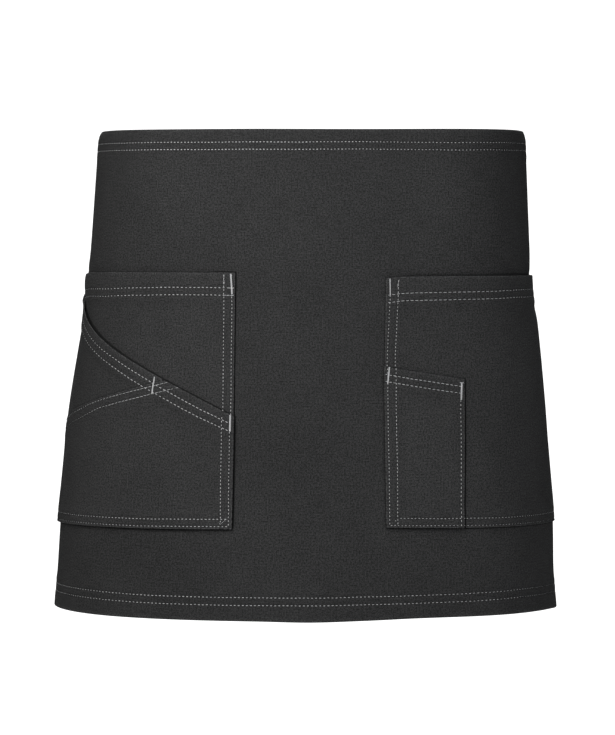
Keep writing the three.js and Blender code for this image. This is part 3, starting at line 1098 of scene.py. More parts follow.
def pocket_outside(outline, ease, layers):
    """The outer face of a pocket that is sewn to the panel."""

    def outside(across, drop):
        off = bulge(ease, across, drop, outline["top"], outline["bottom"])
        return POCKET["gap"] + off + CLOTH * layers(across, drop, HEM_SOFT)

    return outside


left_back_layers = pocket_layers(LEFT_BACK, POCKET["hem"])
left_back_outside = pocket_outside(LEFT_BACK, LEFT_BACK_EASE, left_back_layers)


def side_pull(across, drop, side_row):
    place = np.abs(across)
    near = [pulled(place - side_row(drop) - row) for row in SIDE_PAIR]
    far = [pulled(POCKET["outer"] - place - row) for row in SIDE_ROWS]
    return np.max(near + far, axis=0)


def level_pull(depth, rows):
    return np.max([pulled(depth - row) for row in rows], axis=0)


pocket_width = POCKET["outer"] - POCKET["inner"]
pocket_shares = pocket_outs(pocket_width)
left_across, left_drop = pocket_grid(
    LEFT_BACK,
    pocket_shares,
    depths(TOP_ROWS, POCKET["hem"]),
    depths(FOOT_ROWS, POCKET["turn"]),
    POCKET_STEP["drop"],
)
left_back_pull = np.maximum(
    side_pull(left_across, left_drop, left_side_row),
    level_pull(left_drop - left_top_row(left_across), TOP_PAIR),
)
# Round the side its mouth hem is pressed to a thin edge
PRESSED = {"thin": 0.9, "deep": 3.5, "from": 195.0, "at": 242.0}
left_back_thin = PRESSED["thin"] * np.exp(-(left_drop - left_top(left_across)) / PRESSED["deep"])
left_back_thin = left_back_thin * eased(np.abs(left_across), PRESSED["from"], PRESSED["at"])
pocket_slope = (LEFT_MOUTH[1] - LEFT_MOUTH[0]) / pocket_width
mouth_square = math.cos(math.atan(pocket_slope))
# Painted shade on the back layer in the crease along the slanting mouth's edge, widening towards the side
MOUTH_CREASE_SHADE = {"wide": (1.0, 1.4), "from": 110.0, "at": 200.0, "dark": 0.6}
mouth_wide = np.interp(
    np.abs(left_across), (MOUTH_CREASE_SHADE["from"], MOUTH_CREASE_SHADE["at"]), MOUTH_CREASE_SHADE["wide"]
)
left_back_crease_shade = (
    (left_mouth(left_across) - left_drop) * mouth_square / mouth_wide,
    MOUTH_CREASE_SHADE["dark"],
)
left_back = pocket_sheet(
    "left_pocket_back_cloth",
    LEFT_BACK,
    left_across,
    left_drop,
    left_back_outside,
    left_back_layers,
    left_back_pull,
    thin=left_back_thin,
    crease_shade=left_back_crease_shade,
)
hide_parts("left_pocket_back")
left_back_needle = needle_on(left_back_outside)


def upright_path(side, side_row, row, top, foot):
    """A row down a pocket's inner side, from one drop to another."""
    return [(side * (float(side_row(d)) + row), d) for d in np.linspace(top, foot, 40)]


def level_path(side, edge, down, start, end, points=60):
    """A row below an edge of a pocket, from one distance to another from centre front."""
    return [(side * a, float(edge(a)) + down) for a in np.linspace(start, end, points)]


STROKE_PITCH = 1.3


def stroke(path, lift, bold=1.2):
    """A length of loose thread on the cloth's face."""
    return stitch_row(path, lambda a, d: lift(a, d) + STITCH_PULL, 1, STROKE_PITCH, 0.0, (0.0, 0.0), bold)


# How far a row keeps from the ends and the top of a pocket
ROW_INSET = 0.8
ROW_BELOW = 1.0
TOP_PITCH = 3.55
# From this drop on the upright rows go through the second layer too
LEFT_SPLIT = 236.5
left_level_from = float(left_inner(LEFT_TOP["drop"][0])) + ROW_INSET
level_to = POCKET["outer"] - ROW_INSET
left_level_paths = [
    level_path(-1, left_top_row, row, left_level_from, level_to) for row in TOP_PAIR
]
left_upright_from = LEFT_TOP["drop"][0] + ROW_BELOW
left_upright_paths = [
    upright_path(-1, left_side_row, row, left_upright_from, LEFT_SPLIT) for row in SIDE_PAIR
]
# Where the rows start and end, the thread is sewn over itself
left_starts = (
    ((-71.2, 120.2), (-71.1, 123.9)),
    ((-71.1, 124.9), (-71.0, 128.6)),
    ((-67.0, 131.4), (-62.4, 131.5)),
    ((-70.5, 137.5), (-62.6, 137.6)),
)
START_BOLD = 1.6
# The left pocket's thread lies fuller
LEFT_BOLD = 1.15
left_back_thread = sew(
    "left_pocket_back_thread",
    stitch_rows(left_level_paths, left_back_needle, pitch=TOP_PITCH, bold=LEFT_BOLD),
    stitch_rows(left_upright_paths, left_back_needle, bold=LEFT_BOLD),
    stitch_rows(left_upright_paths, panel_bobbin, facing=-1),
    *[stroke(line, left_back_needle, bold=START_BOLD) for line in left_starts],
)

# Left pocket, second layer
# Two pieces of twill over the back layer. The lower one laps over the upper, outer one at a slanting seam
# with twin rows, and one twice-turned hem crosses both as the second pocket's slanting mouth.

LEFT_SEAM = {"inner": 122.0, "outer_drop": 247.3}
LEFT_FRONT_EASE = {"mouth": 1.4, "belly": 0.9}
SLANT_HEM = 15.0
SEAM_LAP = 11.0
LAYER_GAP = 0.25
# The lap rises from a little before the seam's inner end, and eases off below the seam
LAP_RISE = {"from": 8.0, "at": 4.0, "soft": 14.0}
MOUTH_ROWS = (7.0, 13.4)
SEAM_ROWS = (2.5, 9.0)

# How far below the mouth's and the seam's edges their rows run
MOUTH_ROW = {
    "across": (62, 90, 105, 127, 150, 172, 188, 282),
    "upper": (7.4, 8.2, 7.9, 7.5, 6.9, 7.0, 8.0, 8.7),
    "lower": (14.1, 15.2, 15.3, 14.8, 14.75, 14.5, 15.1, 16.0),
}
SEAM_ROW = {
    "across": (100, 140, 156, 172, 188, 204, 216, 282),
    "upper": (2.6, 2.5, 2.3, 2.1, 1.95, 2.1, 3.0, 3.0),
    "lower": (8.9, 8.8, 8.65, 8.5, 7.9, 9.4, 10.5, 10.5),
}
seam_start = float(left_mouth(LEFT_SEAM["inner"]))
left_seam = edge_line((seam_start, LEFT_SEAM["outer_drop"]), inner=LEFT_SEAM["inner"])
seam_slope = (LEFT_SEAM["outer_drop"] - seam_start) / (POCKET["outer"] - LEFT_SEAM["inner"])
seam_square = math.cos(math.atan(seam_slope))


def left_front_top(across):
    return np.maximum(left_mouth(across), left_seam(across))


def left_side_foot(across):
    return left_seam(across) + SEAM_LAP


MOUTH = {"edge": left_mouth, "square": mouth_square, "rows": MOUTH_ROW}
SEAM = {"edge": left_seam, "square": seam_square, "rows": SEAM_ROW}


def slant_depth(slant, across, drop):
    """Distance square to a slanting edge."""
    return (drop - slant["edge"](across)) * slant["square"]


def left_second_base(across, drop):
    """Where the second layer's inner face lies."""
    own = bulge(LEFT_FRONT_EASE, across, drop, left_mouth, left_bottom)
    return left_back_outside(across, drop) + LAYER_GAP + own


def left_front_layers(across, drop, soft):
    place = np.abs(across)
    mouth = within(slant_depth(MOUTH, across, drop), SLANT_HEM, soft)
    lap = within(slant_depth(SEAM, across, drop), SEAM_LAP, soft)
    inner = within(place - left_front_inner(drop), POCKET["turn"], soft)
    outer = within(POCKET["outer"] - place, POCKET["turn"], soft)
    foot = within(left_bottom(across) - drop, POCKET["turn"], soft)
    return 1 + np.maximum(POCKET["hems"] * mouth, np.max([lap, inner, outer, foot], axis=0))


def left_side_layers(across, drop, soft):
    mouth = within(slant_depth(MOUTH, across, drop), SLANT_HEM, soft)
    outer = within(POCKET["outer"] - np.abs(across), POCKET["turn"], soft)
    return 1 + np.maximum(POCKET["hems"] * mouth, outer)


def left_side_outside(across, drop):
    return left_second_base(across, drop) + CLOTH * left_side_layers(across, drop, HEM_SOFT)


def left_front_outside(across, drop):
    """The lower piece's outer face, raised where it laps over the upper piece."""
    inner = LEFT_SEAM["inner"]
    past = eased(np.abs(across), inner - LAP_RISE["from"], inner + LAP_RISE["at"])
    lap = CLOTH * past * within(slant_depth(SEAM, across, drop), SEAM_LAP, LAP_RISE["soft"])
    return left_second_base(across, drop) + lap + CLOTH * left_front_layers(across, drop, HEM_SOFT)


def left_second_outside(across, drop):
    """The outer face of whichever second-layer piece is on top."""
    lower = (drop > left_seam(across)) | (np.abs(across) < LEFT_SEAM["inner"])
    return np.where(lower, left_front_outside(across, drop), left_side_outside(across, drop))


def slant_row(slant, row, across):
    """The drop of a row below a slanting edge."""
    rows = slant["rows"]
    return slant["edge"](across) + np.interp(np.abs(across), rows["across"], rows[row])


def slant_pull(slant, across, drop):
    away = [(drop - slant_row(slant, row, across)) * slant["square"] for row in ("upper", "lower")]
    return np.max([pulled(far) for far in away], axis=0)


def seam_pull(across, drop):
    """The pull of the seam's rows, which start a little before its inner end."""
    return slant_pull(SEAM, across, drop) * (np.abs(across) > LEFT_SEAM["inner"] - LAP_RISE["from"])


# The upper piece starts a little past the seam's inner end, and has painted shade in the crease above the
# seam
SIDE_FROM = 2.0
SIDE_STEP = 2.4
SIDE_LEVELS = 38
SIDE_CROWD = 0.8
SEAM_CREASE_SHADE = {"wide": 1.1, "dark": 0.35}
side_start = LEFT_SEAM["inner"] + SIDE_FROM
side_width = POCKET["outer"] - side_start
side_far_rows = tuple(side_width - r for r in SIDE_ROWS)
side_shares = spread(0, side_width, SIDE_STEP, edges=((0, 1), (side_width, -1)), rows=side_far_rows)
LEFT_SIDE = outlined(-1, left_mouth, left_side_foot, lambda drop: np.full(np.shape(drop), side_start))
side_ups = [up / mouth_square for up in depths(MOUTH_ROWS, SLANT_HEM)]
side_places = side_start + side_shares
side_high = left_mouth(side_places)
side_low = left_side_foot(side_places)
side_crowd = np.minimum(1, SIDE_CROWD * (side_low - side_high) / side_ups[-1])
side_upper = side_high + np.array(side_ups)[:, None] * side_crowd
side_share = (np.arange(1, SIDE_LEVELS + 1) / SIDE_LEVELS)[:, None]
side_lower = side_upper[-1] + (side_low - side_upper[-1]) * side_share
side_drop = np.concatenate((side_upper, side_lower))[:, ::-1]
side_across = np.broadcast_to(-side_places, side_drop.shape)[:, ::-1]
left_side_pull = np.maximum(
    slant_pull(MOUTH, side_across, side_drop),
    side_pull(side_across, side_drop, left_side_row),
)
above_seam = (left_seam(side_across) - side_drop) * seam_square
left_side = pocket_sheet(
    "left_pocket_side_cloth",
    LEFT_SIDE,
    side_across,
    side_drop,
    left_side_outside,
    left_side_layers,
    left_side_pull,
    crease_shade=(above_seam / SEAM_CREASE_SHADE["wide"], SEAM_CREASE_SHADE["dark"]),
)
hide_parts("left_pocket_side")

LEFT_FRONT = outlined(-1, left_front_top, left_bottom, left_front_inner)
front_across, front_drop = pocket_grid(
    LEFT_FRONT,
    pocket_shares,
    [up / mouth_square for up in depths(MOUTH_ROWS + SEAM_ROWS[:1], SLANT_HEM)],
    depths(FOOT_ROWS, POCKET["turn"]),
    POCKET_STEP["drop"],
)
front_pull = np.max(
    [
        slant_pull(MOUTH, front_across, front_drop),
        seam_pull(front_across, front_drop),
        side_pull(front_across, front_drop, left_side_row),
        level_pull(left_bottom(front_across) - front_drop, FOOT_ROWS),
    ],
    axis=0,
)
left_front = pocket_sheet(
    "left_pocket_front_cloth",
    LEFT_FRONT,
    front_across,
    front_drop,
    left_front_outside,
    left_front_layers,
    front_pull,
)
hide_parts("left_pocket_front")
left_second_needle = needle_on(left_second_outside)

MOUTH_PITCH = 3.4
MOUTH_SHOWS = 0.74
SEAM_PITCH = 3.3
SEAM_BOLD = 0.8
SEAM_SHOWS = 1.12
FOOT_PITCH = 3.25
MOUTH_ROW_FROM = 66.8
SECOND_START = 131.5
mouth_paths = [
    level_path(-1, lambda a: slant_row(MOUTH, row, a), 0.0, MOUTH_ROW_FROM, level_to, points=90)
    for row in ("upper", "lower")
]
SEAM_ROW_SHORT = 0.5
seam_paths = []
for row, below in zip(("upper", "lower"), SEAM_ROWS):
    start = LEFT_SEAM["inner"] - below / seam_square / (seam_slope - pocket_slope) + SEAM_ROW_SHORT
    seam_paths.append(level_path(-1, lambda a: slant_row(SEAM, row, a), 0.0, start, level_to, points=70))


def outer_path(side, row, top, foot):
    """A row down a pocket's outer side."""
    return [(side * (POCKET["outer"] - row), drop) for drop in (top, foot)]


# The innermost upright row runs past the upper bottom row, and its thread slants back across the corner
UPRIGHT_PAST = 3.3
UPPER_FOOT_FROM = 1.0
CORNER_BOLD = 0.9
left_corner = float(left_bottom(POCKET["inner"]))
left_foot_start = float(left_side_row(left_corner))
left_foot_end = POCKET["outer"] - SIDE_ROWS[0]
front_uprights = [
    upright_path(-1, left_side_row, 0.0, LEFT_SPLIT, left_corner - FOOT_ROWS[0]),
    upright_path(-1, left_side_row, SIDE_GAUGE, LEFT_SPLIT, left_corner - FOOT_ROWS[1] + UPRIGHT_PAST),
]
front_uprights += [
    outer_path(-1, row, SECOND_START, LEFT_BOTTOM[1] - FOOT_ROWS[0]) for row in SIDE_ROWS
]
front_feet = [
    level_path(-1, left_bottom, -FOOT_ROWS[0], left_foot_start, left_foot_end),
    level_path(-1, left_bottom, -FOOT_ROWS[1], left_foot_start + UPPER_FOOT_FROM, left_foot_end),
]
left_corner_thread = ((-74.3, 323.6), (-74.0, 325.1), (-68.4, 320.8))
left_front_thread = sew(
    "left_pocket_front_thread",
    stitch_rows(mouth_paths, left_second_needle, pitch=MOUTH_PITCH, bold=LEFT_BOLD, shows=MOUTH_SHOWS),
    stitch_rows(seam_paths, left_second_needle, pitch=SEAM_PITCH, bold=SEAM_BOLD, shows=SEAM_SHOWS),
    stitch_rows(front_uprights, left_second_needle, bold=LEFT_BOLD),
    stitch_rows(front_feet, left_second_needle, pitch=FOOT_PITCH, bold=LEFT_BOLD),
    stitch_rows(front_uprights + front_feet, panel_bobbin, facing=-1),
    stroke(left_corner_thread, left_second_needle, bold=CORNER_BOLD),
)

# Right pocket
# A patch like the left pocket's back layer, on the viewer's right, turned under at its sides and bottom,
# hemmed at its straight mouth and sewn to the panel with twin rows.

RIGHT_EASE = {"mouth": 1.0, "belly": 2.2}
RIGHT_TOP_ROW = {
    "across": (62.0, 78.0, 110.0, 125.0, 145.0, 165.0, 185.0, 282.0),
    "drop": (137.9, 136.0, 135.4, 135.1, 134.7, 134.3, 133.9, 133.6),
}
RIGHT_TOP_ROWS = (13.0, 19.2)
RIGHT_FOOT_ROWS = (2.0, 7.9)
RIGHT_SIDE_ROW = {"drop": (122, 140, 165, 187, 331), "from_edge": (3.5, 3.4, 2.85, 2.1, 1.95)}
right_top_row = edge_curve(RIGHT_TOP_ROW)


def right_side_row(drop):
    """The distance of the right pocket's outermost upright row from centre front."""
    return right_inner(drop) + np.interp(drop, RIGHT_SIDE_ROW["drop"], RIGHT_SIDE_ROW["from_edge"])


RIGHT = outlined(1, right_top, right_bottom, right_inner)
right_layers = pocket_layers(RIGHT, POCKET["hem"])
right_outside = pocket_outside(RIGHT, RIGHT_EASE, right_layers)
right_across, right_drop = pocket_grid(
    RIGHT,
    pocket_shares,
    depths(RIGHT_TOP_ROWS, POCKET["hem"]),
    depths(RIGHT_FOOT_ROWS, POCKET["turn"]),
    POCKET_STEP["drop"],
)
right_pull = np.max(
    [
        side_pull(right_across, right_drop, right_side_row),
        level_pull(right_drop - right_top_row(right_across), TOP_PAIR),
        level_pull(right_bottom(right_across) - right_drop, RIGHT_FOOT_ROWS),
    ],
    axis=0,
)
TOOL = {"outer": 127.8, "top": (195.9, 207.0), "bottom": (327.8, 329.3), "side_row": 3.0}
# Painted shade on the right pocket in the creases along the tool pocket's outer side and its mouth
TOOL_CREASE_SHADE = {"side": (1.5, 0.85), "mouth": (1.5, 0.3), "starts": 0.75}
tool_top = edge_line(TOOL["top"], outer=TOOL["outer"])
right_crease_shade = darkest(
    [
        (right_across - TOOL["outer"] - TOOL_CREASE_SHADE["starts"], *TOOL_CREASE_SHADE["side"]),
        (tool_top(right_across) - right_drop, *TOOL_CREASE_SHADE["mouth"]),
    ]
)
right_pocket = pocket_sheet(
    "right_pocket_cloth",
    RIGHT,
    right_across,
    right_drop,
    right_outside,
    right_layers,
    right_pull,
    crease_shade=right_crease_shade,
)
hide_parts("right_pocket")

# Tool pocket
# A narrow patch on the right pocket with a sloping hemmed mouth. Its inner side and its bottom are sewn in
# with the right pocket's own edges, and one row holds its outer side.

TOOL_EASE = {"mouth": 1.2, "belly": 1.2}
TOOL_INNER = {"drop": (122.0, 200.0, 331.0), "across": (62.2, 60.8, 62.8)}
TOOL_TOP_ROWS = (6.35, 12.1)
TOOL_STEP = 2.2
tool_bottom = edge_line(TOOL["bottom"], outer=TOOL["outer"])
tool_width = TOOL["outer"] - POCKET["inner"]
TOOL_OUTLINE = outlined(1, tool_top, tool_bottom, sewn_edge(TOOL_INNER), TOOL["outer"])
tool_layers = pocket_layers(TOOL_OUTLINE, SLANT_HEM)


def tool_outside(across, drop):
    """The tool pocket's outer face."""
    own = bulge(TOOL_EASE, across, drop, tool_top, tool_bottom, outer=TOOL["outer"])
    return right_outside(across, drop) + LAYER_GAP + own + CLOTH * tool_layers(across, drop, HEM_SOFT)


tool_across, tool_drop = pocket_grid(
    TOOL_OUTLINE,
    pocket_outs(tool_width, far_rows=(TOOL["side_row"],)),
    depths(TOOL_TOP_ROWS, SLANT_HEM),
    depths(RIGHT_FOOT_ROWS, POCKET["turn"]),
    TOOL_STEP,
)
tool_pull = np.max(
    [
        pulled(np.abs(tool_across) - right_side_row(tool_drop)),
        pulled(np.abs(tool_across) - right_side_row(tool_drop) - SIDE_GAUGE),
        pulled(TOOL["outer"] - np.abs(tool_across) - TOOL["side_row"]),
        level_pull(tool_drop - tool_top(tool_across), TOOL_TOP_ROWS),
        level_pull(tool_bottom(tool_across) - tool_drop, RIGHT_FOOT_ROWS),
    ],
    axis=0,
)
tool_pocket = pocket_sheet(
    "right_tool_pocket_cloth",
    TOOL_OUTLINE,
    tool_across,
    tool_drop,
    tool_outside,
    tool_layers,
    tool_pull,
)
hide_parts("right_tool_pocket")


def right_needle(across, drop):
    """The face a needle meets on the right: the tool pocket's where it covers the right pocket's."""
    on_tool = (across < TOOL["outer"]) & (drop > tool_top(across))
    face = np.where(on_tool, tool_outside(across, drop), right_outside(across, drop))
    return face - STITCH_PULL


RIGHT_TOP_PITCH = 3.8
TOOL_TOP_PITCH = 3.6
TOOL_SIDE_PITCH = 3.2
RIGHT_FOOT_PITCH = 3.0
# Along the right pocket's mouth and bottom and the tool pocket's mouth the thread is drawn tighter
RIGHT_BOLD = 0.8
RIGHT_TOP_SHOWS = 0.9
TOOL_TOP_BOLD = 0.88
TOOL_TOP_SHOWS = 0.84
right_level_from = float(right_inner(RIGHT_TOP["drop"][0])) + ROW_INSET
right_top_paths = [
    level_path(1, right_top_row, row, right_level_from, level_to) for row in TOP_PAIR
]
TOOL_ROW = {"from": 60.9, "short": 2.2, "points": 16}
tool_row_to = TOOL["outer"] - TOOL_ROW["short"]
tool_paths = [
    level_path(1, tool_top, row, TOOL_ROW["from"], tool_row_to, TOOL_ROW["points"]) for row in TOOL_TOP_ROWS
]
# The row down the tool pocket's outer side leans out a little, from below its tack to above its bottom
TOOL_SIDE = {"lean": 0.3, "below": 16.0, "above": 1.0}
side_row = TOOL["outer"] - TOOL["side_row"]
tool_side = [
    (side_row - TOOL_SIDE["lean"], TOOL["top"][1] + TOOL_SIDE["below"]),
    (side_row + TOOL_SIDE["lean"], TOOL["bottom"][1] - TOOL_SIDE["above"]),
]
# Both upright rows run down to the lower bottom row, and the upper one starts from the second
right_corner = float(right_bottom(POCKET["inner"]))
right_foot_start = float(right_side_row(right_corner))
right_foot_end = POCKET["outer"] - SIDE_ROWS[0]
RIGHT_FOOT_FROM = 1.2
right_upright_from = RIGHT_TOP["drop"][0] + ROW_BELOW
right_upright_to = right_corner - RIGHT_FOOT_ROWS[0]
right_uprights = [
    upright_path(1, right_side_row, row, right_upright_from, right_upright_to) for row in SIDE_PAIR
]
right_outer_drops = (RIGHT_TOP["drop"][3] + ROW_BELOW, RIGHT_BOTTOM[1] - RIGHT_FOOT_ROWS[0])
right_uprights += [outer_path(1, row, *right_outer_drops) for row in SIDE_ROWS]
right_upper_start = right_foot_start + SIDE_GAUGE + RIGHT_FOOT_FROM
right_feet = [
    level_path(1, right_bottom, -RIGHT_FOOT_ROWS[0], right_foot_start, right_foot_end),
    level_path(1, right_bottom, -RIGHT_FOOT_ROWS[1], right_upper_start, right_foot_end),
]
right_starts = (((73.6, 124.6), (72.3, 129.4), (73.2, 131.7)), ((70.0, 321.3), (70.9, 322.9)))
right_thread = sew(
    "right_pocket_thread",
    stitch_rows(
        right_top_paths, right_needle, pitch=RIGHT_TOP_PITCH, bold=RIGHT_BOLD, shows=RIGHT_TOP_SHOWS
    ),
    stitch_rows(tool_paths, right_needle, pitch=TOOL_TOP_PITCH, bold=TOOL_TOP_BOLD, shows=TOOL_TOP_SHOWS),
    stitch_rows([tool_side], right_needle, pitch=TOOL_SIDE_PITCH, bold=LEFT_BOLD),
    stitch_rows(right_uprights, right_needle),
    stitch_rows(right_feet, right_needle, pitch=RIGHT_FOOT_PITCH, bold=RIGHT_BOLD),
    stitch_rows(right_uprights + right_feet, panel_bobbin, facing=-1),
    *[stroke(line, right_needle) for line in right_starts],
)

# Bar tacks
# Dense satin bars of the same thread, about 14 mm long, across the ends of the pocket mouths and the
# crossing of the slanting mouth with the lapped seam, where the pockets take the strain.

TACK = {"pitch": 0.42, "half": 0.85, "thick": 0.22, "slant": 0.2, "uneven": (0.93, 1.07)}
TACKS = {
    "from": ((-65.4, 119.8), (-65.3, 235.7), (-130.6, 205.0), (65.9, 123.8), (65.1, 196.4), (125.0, 209.6)),
    "to": ((-64.2, 136.4), (-65.6, 249.0), (-132.4, 219.0), (66.2, 137.5), (63.6, 209.8), (124.5, 223.7)),
    "bold": (1.0, 1.1, 0.85, 0.6, 0.85, 1.1),
}


def pocket_needle(across, drop):
    """The topmost pocket face at a flat place."""
    on_second = drop > left_mouth(across)
    left = np.where(on_second, left_second_needle(across, drop), left_back_needle(across, drop))
    return np.where(across < 0, left, right_needle(across, drop))


def bar_tack(start, end, bold):
    """Threads laid side by side across a short line."""
    start = np.array(start)
    end = np.array(end)
    reach = np.hypot(*(end - start))
    count = round(reach / TACK["pitch"])
    share = (np.arange(count) + 0.5) / count
    across = start[0] + (end[0] - start[0]) * share
    drop = start[1] + (end[1] - start[1]) * share
    to_across, to_drop = (end - start) / reach
    slant = np.where(np.arange(count) % 2 == 0, TACK["slant"], -TACK["slant"])
    rows = (
        across,
        drop,
        -to_drop + slant * to_across,
        to_across + slant * to_drop,
        np.full(count, TACK["half"] * bold) * wander.uniform(*TACK["uneven"], count),
        np.full(count, TACK["thick"]),
        pocket_needle(across, drop) + STITCH_PULL,
        np.ones(count),
    )
    return np.column_stack(rows)


# The tool pocket's tack ends in a short bar across
TACK_CAP = ((123.0, 209.7), (127.0, 209.8))
bar_tacks = sew(
    "bar_tacks",
    *[bar_tack(*tack) for tack in zip(TACKS["from"], TACKS["to"], TACKS["bold"])],
    stroke(TACK_CAP, pocket_needle, bold=START_BOLD),
)

# Straps
# Two flat woven tapes behind the waist. Each is sewn inside an end of the panel with a crossed box of
# stitches, runs round the back, turns through the slide and lies back on itself.

STRAP = {"wide": 30.0, "thick": 1.3, "top": 3.0, "sewn_from": 328.0, "tail": 30.0, "lift": -2.85}
SLIDE = {"wide": 34.0, "tall": 38.0, "thick": 3.0, "bar": 6.0, "slot": 7.5, "slot_tall": 32.0}
STRAP_TURN = 2.55
STRAP_POINTS = {"run": 60, "turn": 17, "tail": 22}
TAIL_GAP = 0.4
TAPE_STEP = {"along": 1.6, "level": 2.0}
strap_level = np.array([STRAP["top"]])


def plan(side, across, lift):
    """Plan places on the section at the strap's height, in millimetres."""
    half = HIPS[0 if side < 0 else 1][:, int(STRAP["top"]) - TABLE_TOP]
    x, y, toward_x, toward_y = (np.interp(across, np.arange(TABLE_REACH), row) for row in half)
    return np.column_stack((side * (x + lift * toward_y), y - lift * toward_x))


def half_round(side):
    """The distance from centre front to centre back at the strap's height."""
    half = section_values("left" if side < 0 else "right", strap_level)[0]
    turn = np.linspace(-math.pi / 2, math.pi / 2, TABLE_TURNS)
    front = section_values("front", strap_level)[0]
    back = section_values("back", strap_level)[0]
    y = np.where(turn < 0, front, back) * np.sin(turn)
    return np.sum(np.hypot(np.diff(half * np.cos(turn)), np.diff(y)))


def strap_line(side):
    """The strap's middle line in plan."""
    straight_from = half_round(side) - SLIDE["wide"] / 2
    slide_y = section_values("back", strap_level)[0] + STRAP["lift"]
    run = plan(side, np.linspace(STRAP["sewn_from"], straight_from, STRAP_POINTS["run"]), STRAP["lift"])
    angle = np.linspace(0, math.pi, STRAP_POINTS["turn"])
    x = SLIDE["wide"] / 2 - SLIDE["bar"] - STRAP_TURN * np.sin(angle)
    turn = np.column_stack((side * x, slide_y + STRAP_TURN - STRAP_TURN * np.cos(angle)))
    bow = slide_y - run[-1, 1]
    count = STRAP_POINTS["tail"]
    back_along = np.linspace(straight_from, straight_from - STRAP["tail"], count)
    close = eased(np.arange(count), 0, count - 1)
    apart = (2 * STRAP_TURN + bow) * (1 - close) + (STRAP["thick"] + TAIL_GAP) * close
    tail = plan(side, back_along, STRAP["lift"] + apart)
    return np.concatenate((run, turn, tail))


def strap_tape(name, side):
    """A tape that stands on edge along its line, with rounded edges, and its length."""
    line = strap_line(side)
    steps = np.hypot(*np.diff(line, axis=0).T)
    reach = np.concatenate(([0], np.cumsum(steps)))
    length = reach[-1]
    along = spread(0, length, TAPE_STEP["along"], edges=((0, 1), (length, -1)))
    level = spread(0, STRAP["wide"], TAPE_STEP["level"], edges=((0, 1), (STRAP["wide"], -1)))
    piece, row, column = grid_piece(name, len(level), len(along))
    far = along[column]
    high = level[::-1][row]
    x = np.interp(far, reach, line[:, 0])
    y = np.interp(far, reach, line[:, 1])
    z = high - STRAP["top"] - STRAP["wide"]
    lay_out(piece.data, MM * np.column_stack((x, y, z)), np.column_stack((far, high)))
    edge = np.minimum(high, STRAP["wide"] - high)
    wall = STRAP["thick"] - 2 * curled(edge, STRAP["thick"] / 2)
    add_wall(piece, np.maximum(wall, THINNEST), 0)
    if side < 0:
        face_outward()
    piece.data.materials.append(WEBBING)
    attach(piece, "root")
    return piece, length


TAPE_COLOUR = (0.02, 0.02, 0.021)
TAPE_LOOK = {
    "yarn_pitch": 0.0011,
    "grain": (0.8, 1.2),
    "rough": (0.7, 0.85),
    "gloss": 0.3,
    "bump": 0.7,
    "bump_high": 0.0004,
}


def build_webbing():
    material, tree, shader = new_material("black_webbing")
    weave = woven(tree, own_place(tree), TAPE_LOOK["yarn_pitch"])
    grain = remap(tree, weave["Grain"], *NOISE_FROM, *TAPE_LOOK["grain"])
    shade = math_node(tree, "MULTIPLY", grain, weave["Shade"])
    tree.links.new(shaded(tree, TAPE_COLOUR, shade), shader.inputs["Base Color"])
    rough = remap(tree, weave["Grain"], *NOISE_FROM, *TAPE_LOOK["rough"])
    tree.links.new(rough, shader.inputs["Roughness"])
    add_bump(tree, shader, TAPE_LOOK["bump"], TAPE_LOOK["bump_high"], weave["Height"])
    shader.inputs["Specular IOR Level"].default_value = TAPE_LOOK["gloss"]
    return material


WEBBING = build_webbing()
BOX_STITCH = {"from": 333.0, "to": 365.0, "top": 7.0, "foot": 29.0, "sunk": 0.1, "stray": 0.1}


def strap_face(across, drop):
    """The strap's inner face where it lies inside the panel's end."""
    return np.full(np.shape(across), STRAP["lift"] - STRAP["thick"] / 2 + BOX_STITCH["sunk"])


for side, end in ((-1, "left"), (1, "right")):
    tape, tape_length = strap_tape(f"strap_{end}_tape", side)
    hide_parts(f"strap_{end}")
    box = BOX_STITCH
    corners = [
        (side * box["from"], box["top"]),
        (side * box["to"], box["top"]),
        (side * box["to"], box["foot"]),
        (side * box["from"], box["foot"]),
    ]
    lines = [[corners[i], corners[(i + 1) % 4]] for i in range(4)]
    lines += [[corners[0], corners[2]], [corners[1], corners[3]]]
    tape_thread = sew(
        f"strap_{end}_thread",
        stitch_rows(lines, panel_needle, stray=box["stray"]),
        stitch_rows(lines, strap_face, facing=-1, stray=box["stray"]),
    )

# Slide
# One plain moulded plate of matt black plastic at centre back, with an upright slot for each strap. The
# straps turn round its end bars, so nothing else fixes it.

slide_y = section_values("back", strap_level)[0] + STRAP["lift"] + STRAP_TURN
slide_z = -STRAP["top"] - STRAP["wide"] / 2
SLOT_CLEAR = 2
SLIDE_ROUND = {"wide": 0.8, "steps": 3, "sharp": 40}


def block(wide, deep, tall, x):
    deselect_all()
    bpy.ops.mesh.primitive_cube_add(size=1, location=(x * MM, slide_y * MM, slide_z * MM))
    made = bpy.context.object
    made.scale = (wide * MM, deep * MM, tall * MM)
    bpy.ops.object.transform_apply(location=True, rotation=False, scale=True)
    return made


